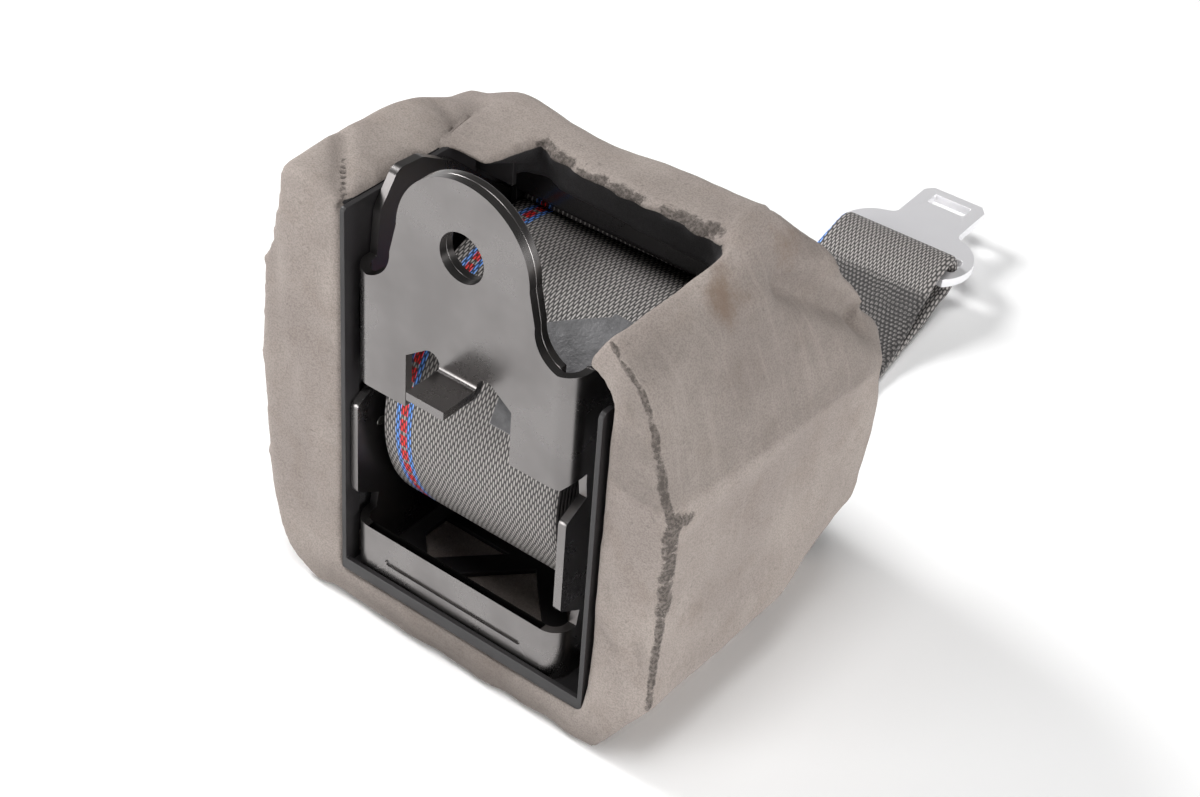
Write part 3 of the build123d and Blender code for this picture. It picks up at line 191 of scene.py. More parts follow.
# Uneven finish: broad blotches, fine grain and worn edges, for metal and plastic alike
SCRATCH_TURN = (0.3, 0.4, 0.9)
SCRATCH_STRETCH = (60, 900, 900)


def make_finish_group():
    tree, entry, leave = new_group(
        "uneven_finish",
        [
            ("Colour", "Color", grey(0.5)),
            ("Blotch Colour", "Color", grey(0.4)),
            ("Edge Colour", "Color", grey(0.6)),
            ("Blotch Scale", "Float", 60.0),
            ("Grain Scale", "Float", 900.0),
            ("Grain Strength", "Float", 0.3),
            ("Scratches", "Float", 0.3),
            ("Edge Wear", "Float", 0.5),
            ("Roughness", "Float", 0.4),
        ],
    )
    where = object_place(tree)
    blotch = spread(tree, grain(tree, where, entry["Blotch Scale"]), 0.35, 0.7)
    fine = grain(tree, where, entry["Grain Scale"], 2.0)
    lines = grain(tree, stretched(tree, where, SCRATCH_STRETCH, SCRATCH_TURN), 1.0, 4.0, 0.7)
    lines = product(tree, spread(tree, lines, 0.66, 0.74), entry["Scratches"])
    chipped = maths(tree, "ADD", mask(tree, "edge"), product(tree, blotch, 0.6))
    worn = product(tree, spread(tree, chipped, 0.75, 1.25), entry["Edge Wear"])
    colour = blend_colours(tree, blotch, entry["Colour"], entry["Blotch Colour"])
    colour = tint(tree, colour, entry["Edge Colour"], lines, 0.5)
    colour = blend_colours(tree, worn, colour, entry["Edge Colour"])
    rough = scaled(tree, maths(tree, "SUBTRACT", blotch, 0.5), 0.08, entry["Roughness"])
    rough = scaled(tree, maths(tree, "SUBTRACT", fine, 0.5), 0.05, rough)
    height = scaled(tree, lines, -0.4, product(tree, fine, entry["Grain Strength"]))
    return close_group(tree, leave, colour, rough, height)


# Foam skin: pale mottling, pores, faint tool lines and dark torn edges, with dirt and painted shade in
# places and a cavity darkened by painted shade
CLOUD_SCALE = 28.0
DIRT_SCALE = 95.0
RAGGED_SCALE = 330.0
FLECK_SCALE = 700.0
CRUMB_SCALE = 1300.0
PORE_SCALE = 2600.0
STREAK_STRETCH = (70, 500, 25)
SMEAR_STRETCH = (45, 90, 160)


def skin_colour(tree, entry, where, pores, flecks, streaks):
    """The whole skin's mottling, dirt, grime and painted shade, pores and stains."""
    cloud = spread(tree, grain(tree, where, CLOUD_SCALE, 4.0, 0.6), 0.3, 0.7)
    dirt = spread(tree, grain(tree, where, DIRT_SCALE, 5.0, 0.65), 0.45, 0.75)
    smear = grain(tree, stretched(tree, where, SMEAR_STRETCH), 1.0, 5.0, 0.7)
    smear = spread(tree, smear, 0.35, 0.7)
    # Dirt and painted shade: the marked places and the roof facet are darkened, with a smeared border
    dirt_and_shade = product(tree, mask(tree, "dirt_and_shade"), scaled(tree, smear, 0.16, 0.42))
    stain = scaled(tree, maths(tree, "SUBTRACT", dirt, 0.4), 0.5, mask(tree, "stain"))
    stain = spread(tree, stain, 0.25, 1.1)
    colour = blend_colours(tree, cloud, entry["Colour"], entry["Pale"])
    colour = tint(tree, colour, entry["Stain"], dirt, 0.22)
    colour = blend_colours(tree, dirt_and_shade, colour, entry["Scuff And Shade"])
    colour = tint(tree, colour, entry["Scuff And Shade"], pores, 0.3)
    colour = tint(tree, colour, entry["Scuff And Shade"], flecks, 0.3)
    colour = tint(tree, colour, entry["Pale"], streaks, 0.2)
    return tint(tree, colour, entry["Stain"], stain, 0.8)


def make_foam_group():
    tree, entry, leave = new_group(
        "foam_skin",
        [
            ("Colour", "Color", grey(0.5)),
            ("Pale", "Color", grey(0.6)),
            ("Scuff And Shade", "Color", grey(0.2)),
            ("Stain", "Color", grey(0.3)),
            ("Cavity Shade", "Color", grey(0.02)),
        ],
    )
    where = object_place(tree)
    pores = spread(tree, grain(tree, where, PORE_SCALE, 2.0, 0.6), 0.38, 0.66)
    flecks = spread(tree, grain(tree, where, FLECK_SCALE, 3.0, 0.7), 0.62, 0.72)
    streaks = spread(tree, grain(tree, stretched(tree, where, STREAK_STRETCH), 1.0, 3.0), 0.5, 0.75)
    colour = skin_colour(tree, entry, where, pores, flecks, streaks)
    # Torn places show crumbs, and their outline is ragged
    crumb = spread(tree, grain(tree, where, CRUMB_SCALE, 5.0, 0.75), 0.42, 0.6)
    ragged = scaled(tree, grain(tree, where, RAGGED_SCALE, 6.0, 0.8), 3.6, -1.8)
    torn = mask(tree, "torn")
    torn = spread(tree, scaled(tree, torn, ragged, torn), 0.42, 0.66)
    broken = product(tree, torn, scaled(tree, crumb, -0.6, 1.0))
    colour = blend_colours(tree, broken, colour, entry["Scuff And Shade"])
    # Painted shade: the cavity's walls are darkened to a near-black colour, with a ragged border
    inside = spread(tree, scaled(tree, ragged, 0.15, mask(tree, "inside")), 0.35, 0.65)
    colour = blend_colours(tree, inside, colour, entry["Cavity Shade"])
    height = scaled(tree, pores, -0.25, product(tree, flecks, -0.5))
    height = scaled(tree, streaks, 0.15, height)
    height = scaled(tree, product(tree, torn, crumb), 3.0, height)
    return close_group(tree, leave, colour, scaled(tree, pores, 0.1, 0.82), height)


# Webbing weave: lengthwise cords whose floats lie like bricks, with painted shade in the gaps between them;
# UV is in metres
WOBBLE_SCALE = 240.0
WOBBLE = 1.4 * MM
FRAY_SCALE = 1500.0
MOTIF_START = 3.3 * MM
DASH_CYCLE = 4.2 * MM
DASH_SHARE = 0.75

# Edge motif of two lines and a row of dashes, as place and width in mm, colour, and whether broken
MOTIF = ((0.0, 1.2, "Line", False), (1.2, 1.9, "Dash", True), (3.1, 1.2, "Line", False))


def ridges(tree, value):
    """Rounded ridges, one for each whole step of a value."""
    return maths(tree, "ABSOLUTE", maths(tree, "SINE", product(tree, value, pi)))


def half_step(tree, value):
    """The brick shift of every other row."""
    return product(tree, maths(tree, "FLOOR", value), 0.5)


def wobbly_length(tree, length):
    """The distance along the webbing, made slightly uneven."""
    where = shade(tree, "ShaderNodeUVMap").outputs[0]
    wobble = shade(tree, "ShaderNodeTexNoise", {"Vector": where, "Scale": WOBBLE_SCALE, "Detail": 2.0})
    drift = product(tree, maths(tree, "SUBTRACT", wobble.outputs[0], 0.5), WOBBLE)
    return maths(tree, "ADD", length, drift)


def cord_height(tree, entry, across, along):
    column = maths(tree, "DIVIDE", across, entry["Cord Pitch"])
    row = maths(tree, "DIVIDE", along, entry["Float Length"])
    row = maths(tree, "ADD", row, half_step(tree, column))
    crown = maths(tree, "POWER", ridges(tree, row), 0.6)
    return product(tree, maths(tree, "POWER", ridges(tree, column), 0.7), crown)


def stitch_height(tree, entry, across, along, cords):
    """Rows of sewn links over the doubled end."""
    row = maths(tree, "DIVIDE", along, entry["Stitch Length"])
    side = maths(tree, "DIVIDE", across, entry["Stitch Length"])
    side = maths(tree, "ADD", side, half_step(tree, row))
    knot = maths(tree, "POWER", product(tree, ridges(tree, row), ridges(tree, side)), 0.6)
    return product(tree, knot, scaled(tree, cords, 0.6, 0.4))


def add_motif(tree, entry, yarn, across, length):
    for offset, width, colour_name, broken in MOTIF:
        low = MOTIF_START + offset * MM
        inside = maths(tree, "GREATER_THAN", across, low)
        inside = product(tree, inside, maths(tree, "LESS_THAN", across, low + width * MM))
        if broken:
            cycle = maths(tree, "FRACT", maths(tree, "DIVIDE", length, DASH_CYCLE))
            inside = product(tree, inside, maths(tree, "LESS_THAN", cycle, DASH_SHARE))
        yarn = blend_colours(tree, inside, yarn, entry[colour_name])
    return yarn


def make_weave_group():
    tree, entry, leave = new_group(
        "webbing_weave",
        [
            ("Yarn", "Color", grey(0.3)),
            ("Gap Shade", "Color", grey(0.02)),
            ("Line", "Color", grey(0.5)),
            ("Dash", "Color", grey(0.5)),
            ("Cord Pitch", "Float", 0.6 * MM),
            ("Float Length", "Float", 2.3 * MM),
            ("Stitch Length", "Float", 1.25 * MM),
        ],
    )
    place = shade(tree, "ShaderNodeSeparateXYZ", {0: shade(tree, "ShaderNodeUVMap").outputs[0]})
    across, length = place.outputs[0], place.outputs[1]
    along = wobbly_length(tree, length)
    raised = cord_height(tree, entry, across, along)
    knots = stitch_height(tree, entry, across, along, raised)
    stitched = mask(tree, "stitched")
    raised = product(tree, raised, maths(tree, "SUBTRACT", 1.0, stitched))
    raised = scaled(tree, product(tree, stitched, knots), 1.3, raised)
    lift = spread(tree, raised, 0.36, 0.92)
    fray = grain(tree, object_place(tree), FRAY_SCALE, 3.0, 0.7)
    faded = scaled(tree, stitched, 0.45, product(tree, fray, 0.5))
    yarn = blend_colours(tree, faded, entry["Yarn"], entry["Gap Shade"])
    yarn = add_motif(tree, entry, yarn, across, length)
    # Painted shade: the lower the weave, the closer its colour comes to the dark gap colour
    colour = blend_colours(tree, scaled(tree, lift, 0.9, 0.1), entry["Gap Shade"], yarn)
    return close_group(tree, leave, colour, scaled(tree, lift, -0.2, 0.62), raised)


def new_material(name, group, values, bump, distance=0.2 * MM, metallic=0.0):
    """A material whose Principled shader is fed by one group."""
    material = bpy.data.materials.new(name)
    material.use_nodes = True
    tree = material.node_tree
    base = next(n for n in tree.nodes if n.type == "BSDF_PRINCIPLED")
    base.inputs["Metallic"].default_value = metallic
    use = shade(tree, "ShaderNodeGroup", values, node_tree=group)
    raised = shade(
        tree, "ShaderNodeBump", {"Height": use.outputs["Height"], "Strength": bump, "Distance": distance}
    )
    tree.links.new(use.outputs["Colour"], base.inputs["Base Color"])
    tree.links.new(use.outputs["Roughness"], base.inputs["Roughness"])
    tree.links.new(raised.outputs[0], base.inputs["Normal"])
    return material


finish_group = make_finish_group()
foam_group = make_foam_group()
weave_group = make_weave_group()


def finished(name, colour, blotch, edge, roughness, bump=0.15, metallic=0.0, **more):
    """A metal or plastic material from three colours and a roughness."""
    values = {"Colour": colour, "Blotch Colour": blotch, "Edge Colour": edge, "Roughness": roughness}
    for label, value in more.items():
        values[label.replace("_", " ").title()] = value
    return new_material(name, finish_group, values, bump, metallic=metallic)


black_steel = finished(
    "black_steel", srgb(130, 127, 126), srgb(118, 115, 114), srgb(172, 170, 167), 0.3,
    bump=0.01, metallic=1.0, edge_wear=0.15, scratches=0.05, blotch_scale=45.0,
)
zinc_steel = finished(
    "zinc_steel", srgb(196, 194, 188), srgb(170, 167, 160), srgb(225, 224, 220), 0.32, metallic=1.0
)
spring_steel = finished(
    "spring_steel", srgb(110, 116, 128), srgb(88, 92, 102), srgb(170, 172, 176), 0.3, metallic=1.0
)
bright_steel = finished(
    "bright_steel", srgb(246, 245, 247), srgb(238, 237, 240), srgb(252, 252, 252), 0.34,
    bump=0.015, metallic=0.45, scratches=0.0, edge_wear=0.0, blotch_scale=25.0,
)
cast_zinc = finished(
    "cast_zinc", srgb(168, 168, 170), srgb(146, 146, 148), srgb(200, 200, 200), 0.48, bump=0.4, metallic=0.9
)
black_gloss = finished(
    "black_gloss", srgb(40, 38, 39), srgb(34, 33, 34), srgb(80, 78, 78), 0.2, edge_wear=0.3, scratches=0.4
)
black_matte = finished(
    "black_matte", srgb(37, 35, 36), srgb(31, 29, 30), srgb(70, 68, 68), 0.48,
    edge_wear=0.25, grain_scale=1400.0, grain_strength=0.6,
)
grey_plastic = finished(
    "grey_plastic", srgb(84, 83, 85), srgb(72, 71, 73), srgb(120, 119, 120), 0.5,
    bump=0.35, edge_wear=0.4, grain_scale=1100.0,
)
guard_plastic = finished(
    "guard_plastic", srgb(92, 91, 93), srgb(70, 69, 71), srgb(126, 125, 126), 0.5,
    bump=0.7, edge_wear=0.5, grain_scale=1500.0, grain_strength=0.9, blotch_scale=260.0,
)
natural_plastic = finished(
    "natural_plastic", srgb(226, 222, 210), srgb(212, 207, 193), srgb(238, 236, 228), 0.42
)
# The foam's darkest colour is painted shade for the cavity's walls
foam = new_material(
    "foam", foam_group,
    {
        "Colour": srgb(143, 133, 127), "Pale": srgb(161, 151, 144),
        "Scuff And Shade": srgb(78, 71, 66), "Stain": srgb(110, 92, 78), "Cavity Shade": srgb(38, 36, 37),
    },
    0.5, 0.35 * MM,
)
webbing = new_material(
    "webbing", weave_group,
    {
        "Yarn": srgb(194, 188, 184), "Gap Shade": srgb(24, 22, 23),
        "Line": srgb(104, 166, 255), "Dash": srgb(250, 44, 40),
    },
    0.6, 0.3 * MM,
)


# Pieces
SAME_PLACE = 1e-6
FLAT_ANGLE = radians(1.0)
SHARP_ANGLE = radians(32)
SHADING_ANGLE = radians(50)


def finish_piece(name, mesh, material, body, slot, *stands_for):
    """Link a mesh as one piece that rides on a body and replaces CAD nodes."""
    piece = bpy.data.objects.new(name, mesh)
    scene.collection.objects.link(piece)
    mesh.materials.clear()
    mesh.materials.append(material)
    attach(piece, body)
    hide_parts(*stands_for)
    return piece


def merged_copy(*names):
    """One bmesh of CAD nodes, with its doubles merged."""
    shape = bmesh.new()
    for name in names:
        shape.from_mesh(nodes[name].data)
    bmesh.ops.remove_doubles(shape, verts=shape.verts, dist=SAME_PLACE)
    return shape


def join_at_seam(shape, seam):
    """Remove the faces where two nodes meet, at a distance left and right of the middle."""
    inside = [f for f in shape.faces if all(abs(abs(v.co.x) - seam) < SAME_PLACE for v in f.verts)]
    bmesh.ops.delete(shape, geom=inside, context="FACES_ONLY")
    bmesh.ops.remove_doubles(shape, verts=shape.verts, dist=2 * SAME_PLACE)


def round_edges(shape, width):
    """Round the sharp edges and mark the new faces as edges for the wear."""
    edges = [e for e in shape.edges if len(e.link_faces) == 2 and e.calc_face_angle(0) > SHARP_ANGLE]
    layer = shape.faces.layers.float.new("edge")
    made = bmesh.ops.bevel(
        shape, geom=edges, offset=width, segments=2, profile=0.5, affect="EDGES",
        material=-1, clamp_overlap=True,
    )
    for face in made["faces"]:
        face[layer] = 1.0


def smooth(mesh):
    for polygon in mesh.polygons:
        polygon.use_smooth = True


def bevelled(name, body, slot, material, width, cad_names, seam=None):
    """Copy of CAD nodes with small rounded edges and flat faces between them."""
    shape = merged_copy(*cad_names)
    if seam:
        join_at_seam(shape, seam)
    bmesh.ops.dissolve_limit(
        shape, angle_limit=FLAT_ANGLE, use_dissolve_boundaries=False, verts=shape.verts, edges=shape.edges
    )
    round_edges(shape, width)
    bmesh.ops.triangulate(shape, faces=[f for f in shape.faces if len(f.verts) > 4])
    mesh = bpy.data.meshes.new(name)
    shape.to_mesh(mesh)
    shape.free()
    smooth(mesh)
    mesh.set_sharp_from_angle(angle=SHADING_ANGLE)
    piece = finish_piece(name, mesh, material, body, slot, *cad_names)
    flat = piece.modifiers.new("flat_faces", "WEIGHTED_NORMAL")
    flat.keep_sharp = True


# Rigid pieces with rounded edges
PLATE_HALF_WIDTH = 24.75 * MM

bevelled(
    "pressed_frame", "housing", "black_steel", black_steel, 0.25 * MM, ("frame", "anchor_plate"),
    seam=PLATE_HALF_WIDTH,
)

# CAD node, material, slot, width of the rounded edges in mm, and body
for cad_name, material, slot_name, width, body in (
    ("head_backing_plate", black_steel, "black_steel", 0.25, "housing"),
    ("webbing_guard", guard_plastic, "grey_plastic", 0.3, "housing"),
    ("webbing_guide", black_gloss, "black_gloss", 0.3, "housing"),
    ("inner_shell", black_matte, "black_matte", 0.2, "housing"),
    ("spring_cup", black_matte, "black_matte", 0.3, "housing"),
    ("spring_cover", black_matte, "black_matte", 0.3, "housing"),
    ("spring_screws", zinc_steel, "zinc_steel", 0.3, "housing"),
    ("mechanism_screws", zinc_steel, "zinc_steel", 0.3, "housing"),
    ("mechanism_cover", grey_plastic, "grey_plastic", 0.4, "housing"),
    ("spool_core", cast_zinc, "cast_zinc", 0.3, "spool"),
    ("tongue", bright_steel, "bright_steel", 0.35, "latch_tongue"),
):
    bevelled(cad_name + "_piece", body, slot_name, material, width * MM, (cad_name,))

# Rigid CAD nodes that keep their shape
for cad_name, material in (
    ("left_bush", natural_plastic), ("right_bush", natural_plastic), ("clock_spring", spring_steel),
    ("sensor_bracket", natural_plastic), ("pawl_pin", zinc_steel), ("webbing_pin", zinc_steel),
    ("spool_shaft", zinc_steel), ("spring_arbor", natural_plastic), ("ratchet_wheel", zinc_steel),
    ("pilot_wheel", natural_plastic), ("inertia_disc", cast_zinc), ("locking_pawl", zinc_steel),
    ("sensor_lever", natural_plastic), ("sensor_ball", bright_steel),
):
    data = nodes[cad_name].data
    data.materials.clear()
    data.materials.append(material)


# Foam cover: the CAD shape made an even skin, then dented, swollen, creased and torn
FOAM_VOXEL = 1.15 * MM
FOAM_SMOOTHINGS = 3

# Each dent or swelling as centre, reach and push, all in mm
FOAM_PUSHES = {
    "sunk top corner at the back": ((-46, 54, 0), (12, 13, 13), (2.0, -2.0, -4.0)),
    "raised left shoulder": ((-47, 16, 1), (9, 28, 9), (-1.0, 0, 1.8)),
    "swollen left side": ((-53, 0, -52), (7, 30, 34), (-1.5, 0, 0)),
    "raised rear end of the crest": ((39, 46, 1), (6, 10, 5), (0, 0, 2.6)),
    "low back edge": ((-8, 56, 0), (16, 9, 9), (0, -0.5, -1.6)),
    "swollen back edge": ((-30, 52, 1), (8, 8, 7), (0, 0.8, 1.2)),
    "pinched rear corner": ((46, 76, -10), (11, 12, 11), (-4.2, -3.0, -1.0)),
    "valley end": ((51, 75, -29), (8, 8, 5), (-3.4, -2.2, 0)),
    "swelling over the valley": ((46, 66, -11), (7, 9, 6), (2.4, 0.6, 1.2)),
    "swelling under the valley": ((53, 62, -32), (6, 13, 7), (2.6, 0, 1.4)),
    "rear lobe": ((52, 74, -50), (11, 13, 15), (1.6, 0.6, 0)),
    "tucked lower corner": ((54, 70, -90), (10, 15, 11), (-3.0, -2.4, 0)),
    "right shoulder": ((47, 0, -13), (8, 15, 12), (2.2, 0, 1.5)),
    "facet line": ((57, 26, -36), (4, 40, 3), (1.2, 0, 0)),
    "hollow right rim": ((46, -2, -60), (7, 6, 26), (0, 0.7, 0)),
    "swollen bottom rim": ((4, -2, -104), (36, 6, 5), (0, -0.7, 0)),
    "dent in the left rim": ((-44, -2, -72), (6, 4, 9), (0, 0.8, 0)),
}

# Limits of the cavity, and of the crest that hangs over its right side, in mm
CAVITY_MIDDLE = Vector((3, 28, -50))
CAVITY_LEFT = -32.4
CAVITY_RIGHT = 38.9
CAVITY_FRONT = 0.4
CAVITY_BACK = 62
CAVITY_FLOOR = -92
CAVITY_TOP = -1.1
CREST_START = 34
CREST_SLOPE = 1.15
WALL_BLEND = 1.2
FACING_SHARPNESS = 5

# Back edge of the opening, and the lip that closes its left corner over the flange's ear, in mm
OPENING_LEFT = -33
OPENING_RIGHT = 38
LIP_END = -16
EDGE_FRONT = 36
EDGE_BACK = 50
LIP_BACK = 52
EDGE_FOOT = -6
LIP_DEPTH = 10.0

# Lengths over which the lip and the ragged edge fade in across, back and up, in mm
LIP_FADE = (3, 9, 4.5)
EDGE_FADE_BACK = 6
EDGE_FADE_UP = 5

# Ragged back edge: how far it moves, and the length and slice of its noise, in mm
EDGE_WAVE_HEIGHT = 1.6
EDGE_WAVE_LENGTH = 5.0
EDGE_SLICE = 3.1
EDGE_OFFSET = 1.4

# Middle and half width of the rounded rims, in mm
LEFT_RIM = (-43, 11)
RIGHT_RIM = (47, 9)
BOTTOM_RIM = (-100, 9)
BACK_RIM = (52, 10)

# How far the front rims reach back, their height, mean crown and slow wave, in mm
FRONT_RIM_DEPTH = 4
FRONT_RIM_FADE = 3
FRONT_RIM_HEIGHT = 1.6
FRONT_MEAN_CROWN = 0.55
FRONT_WAVE_HEIGHT = 0.8
FRONT_WAVE_ACROSS = 7
FRONT_WAVE_UP = 26
RIM_SLICE = 5.2

# Where the top rims start, their height and mean crown, in mm
TOP_RIM_FOOT = -5
TOP_RIM_FADE = 4
TOP_RIM_HEIGHT = 2.0
TOP_MEAN_CROWN = 0.5

# Unevenness of the whole skin, and of the left side's outline, in mm
BROAD_LENGTH = 24
BROAD_HEIGHT = 0.5
FINE_LENGTH = 5
FINE_HEIGHT = 0.12
CALM_INSIDE = 0.8
LEFT_SIDE = -50
LEFT_WAVE_LENGTH = 7
LEFT_WAVE_HEIGHT = 1.6
LEFT_FADE = 3

# Line where the roof facet meets the side, as its height at a place back and its fall per mm
FACET_HEIGHT = -34
FACET_BACK = 4.6
FACET_FALL = 0.068
FACET_BLEND = 1.6
# Painted shade on the roof facet above that line, fading in from its edge, and the most dirt and painted
# shade a point can take
ROOF_EDGE = 38
ROOF_BLEND = 4
ROOF_SHADE = 0.6
MOST_DIRT_AND_SHADE = 1.5

# Where a push (squared), a crease and a tear end, in shares of their reach
PUSH_END = 6
CREASE_END = 2.5
TEAR_END = 3

# How steeply a tear ends, and the size, height and mean depth of its crumbs, in mm
TEAR_STEEPNESS = 0.8
CRUMB_LENGTH = 1.6
CRUMB_HEIGHT = 0.5
CRUMB_DEPTH = 0.25

# Creases as the ends of a line, the reach and the depth, in mm
FOAM_CREASES = (
    ((44, 49, -10), (52, 74, -29), 3.6, 5.4),
    ((-45, 15, 1), (-31, -1, -1), 1.5, 1.7),
    ((-50, -1.5, -20), (-47, -1.5, -60), 2.2, 0.7),
    ((-38, -1.5, -12), (-40, -1.5, -38), 1.5, 0.7),
    ((-39, -1.5, -52), (-37, -1.5, -74), 1.5, 0.5),
    ((-41, 41, 0), (-21, 32, 0), 1.8, 1.4),
    ((-37, 43, 0), (-26, 44, 0), 1.0, 0.6),
    ((-36, 47, 0), (-24, 49, 0), 1.0, 0.6),
    ((42, -1.5, -60), (43, -1.5, -64), 1.4, 1.0),
    ((41, -1.5, -73), (45, -1.5, -76), 1.2, 1.0),
    ((50, -1.5, -72), (52, -1.5, -78), 1.2, 0.8),
    ((-37, -1.5, -79), (-35, -1.5, -83), 1.6, -1.2),
    ((-42, -1.5, -24), (-45, -1.5, -52), 1.6, 0.5),
    ((46, -1.5, -84), (50, -1.5, -97), 1.4, 0.6),
)

# Places of dirt and painted shade as centre, reach and share, in mm
FOAM_DIRT_AND_SHADE = (
    ((4, -2, -105), (44, 9, 8), 1.6),
    ((-28, 38, 1), (12, 9, 5), 1.1),
    ((-36, 22, 1), (9, 12, 4), 0.3),
    ((15, 48, 1), (26, 4, 4), 0.5),
    ((50, 84, -60), (8, 8, 40), 0.5),
)

# Brown stains as centre, reach and share, in mm
FOAM_STAINS = (((42, 30, -6), 7, 1.0), ((41, 53, -5), 6, 0.8))

# Torn places as the ends of a line and the reach, in mm
FOAM_TEARS = (
    ((36.5, -1.2, 0), (45, -1.2, -8.7), 0.9),
    ((45, -1.2, -8.7), (52, -1.2, -24), 1.1),
    ((52, -1.2, -24), (55.6, -1.0, -36), 1.3),
    ((55.6, 0.0, -36), (55.6, 4.0, -37), 1.9),
    ((55.6, -0.4, -38), (55.4, -0.6, -60), 1.7),
    ((55.4, -1.0, -60), (54.8, -1.2, -92), 1.1),
    ((-15, 45, 0), (-7, 43, 0), 1.8),
    ((-3, 42, 0.5), (12, 42.5, 0.5), 2.0),
    ((19, 42.5, 0.5), (31, 43, 0.5), 2.2),
    ((-31, -1, 0.5), (-42, 12, 1.2), 0.7),
)


def clamped(value):
    return min(max(value, 0), 1)


def line_distance(place, start, end):
    """Distance from a place to a line between two ends."""
    start, end = Vector(start), Vector(end)
    along = end - start
    share = (place - start).dot(along) / along.length_squared
    return (place - start - along * clamped(share)).length


def squared_share(place, centre, reach):
    """Squared distance from a centre, as a share of the reach along each axis."""
    return sum(((place[i] - centre[i]) / reach[i]) ** 2 for i in range(3))


def inner_surface(place, normal):
    """How far a place belongs to the cavity's walls, from 0 to 1."""
    x, y, z = place
    under_crest = CAVITY_TOP - max(0, x - CREST_START) * CREST_SLOPE - z
    depth = min(
        x - CAVITY_LEFT, CAVITY_RIGHT - x, y - CAVITY_FRONT, CAVITY_BACK - y, z - CAVITY_FLOOR, under_crest
    )
    towards_middle = (CAVITY_MIDDLE - place).normalized().dot(normal)
    return clamped(depth / WALL_BLEND + 0.5) * clamped(towards_middle * FACING_SHARPNESS + 0.5)


def dents_and_swellings(place):
    push = Vector((0, 0, 0))
    for centre, reach, move in FOAM_PUSHES.values():
        away = squared_share(place, centre, reach)
        if away < PUSH_END:
            push += Vector(move) * exp(-away)
    return push


def opening_edge(place):
    """Move of the opening's back edge: forward for the lip, and unevenly for the ragged edge."""
    x, y, z = place
    if z <= EDGE_FOOT or y <= EDGE_FRONT:
        return 0.0
    if OPENING_LEFT < x < LIP_END and y < LIP_BACK:
        lip = clamped((z - EDGE_FOOT) / LIP_FADE[2]) * clamped((LIP_END - x) / LIP_FADE[0])
        return -LIP_DEPTH * lip * clamped((LIP_BACK - y) / LIP_FADE[1])
    if LIP_END < x < OPENING_RIGHT and y < EDGE_BACK:
        edge = clamped((z - EDGE_FOOT) / EDGE_FADE_UP) * clamped((EDGE_BACK - y) / EDGE_FADE_BACK)
        wave = noise.noise(Vector((x / EDGE_WAVE_LENGTH, EDGE_SLICE, 0)))
        return (EDGE_WAVE_HEIGHT * wave - EDGE_OFFSET) * edge
    return 0.0


def rim_crown(value, middle, half_width):
    """Height of a rounded rim at a place across it, from 0 at its edges to 1."""
    return max(0, 1 - ((value - middle) / half_width) ** 2)


def rounded_rims(place, inside):
    """The push that rounds the front and top rims, with a slow wave along the front."""
    x, y, z = place
    push = Vector((0, 0, 0))
    skin = 1 - inside
    if y < FRONT_RIM_DEPTH:
        wave = noise.noise(Vector((x / FRONT_WAVE_ACROSS, RIM_SLICE, z / FRONT_WAVE_UP)))
        crown = max(rim_crown(x, *LEFT_RIM), rim_crown(x, *RIGHT_RIM), rim_crown(z, *BOTTOM_RIM))
        share = skin * clamped((FRONT_RIM_DEPTH - y) / FRONT_RIM_FADE)
        push.y += (FRONT_WAVE_HEIGHT * wave + FRONT_RIM_HEIGHT * (FRONT_MEAN_CROWN - crown)) * share
    if z > TOP_RIM_FOOT and x < CREST_START:
        crown = max(rim_crown(x, *LEFT_RIM), rim_crown(y, *BACK_RIM))
        share = skin * clamped((z - TOP_RIM_FOOT) / TOP_RIM_FADE)
        push.z += TOP_RIM_HEIGHT * (crown - TOP_MEAN_CROWN) * share
    return push


def clouds(place):
    """Soft noise of three octaves."""
    return noise.fractal(place, 1.0, 2.0, 3)


def uneven_skin(place, normal, inside):
    """Broad and fine unevenness, less in the cavity, and the left side's ragged outline."""
    broad = clouds(place / BROAD_LENGTH)
    fine = noise.noise(place / FINE_LENGTH)
    push = normal * (BROAD_HEIGHT * broad + FINE_HEIGHT * fine) * (1 - CALM_INSIDE * inside)
    if place.x < LEFT_SIDE:
        ragged = clouds(Vector((0, place.y, place.z)) / LEFT_WAVE_LENGTH)
        push.x -= LEFT_WAVE_HEIGHT * max(0, ragged) * clamped((LEFT_SIDE - place.x) / LEFT_FADE)
    return push


def crease_depth(place):
    depth_here = 0.0
    for start, end, reach, depth in FOAM_CREASES:
        away = line_distance(place, start, end) / reach
        if away < CREASE_END:
            depth_here += depth * exp(-away * away)
    return depth_here


def torn_share(place):
    tear = 0.0
    for start, end, reach in FOAM_TEARS:
        away = line_distance(place, start, end) / reach
        if away < TEAR_END:
            tear = max(tear, exp(-away * away * TEAR_STEEPNESS))
    return tear


def dirt_and_shade_share(place):
    """Dirt and painted shade of the listed places, and painted shade on the roof facet down to the line
    where it meets the side.
    """
    dirt_and_shade = sum(share * exp(-squared_share(place, centre, reach)) for centre, reach, share in FOAM_DIRT_AND_SHADE)
    facet_line = FACET_HEIGHT - FACET_FALL * (place.y - FACET_BACK)
    roof = clamped((place.z - facet_line) / FACET_BLEND + 0.5) * clamped((place.x - ROOF_EDGE) / ROOF_BLEND)
    return min(MOST_DIRT_AND_SHADE, dirt_and_shade + ROOF_SHADE * roof)


def stain_share(place):
    stain = 0.0
    for centre, reach, share in FOAM_STAINS:
        away = (place - Vector(centre)).length / reach
        stain += share * exp(-away * away)
    return stain


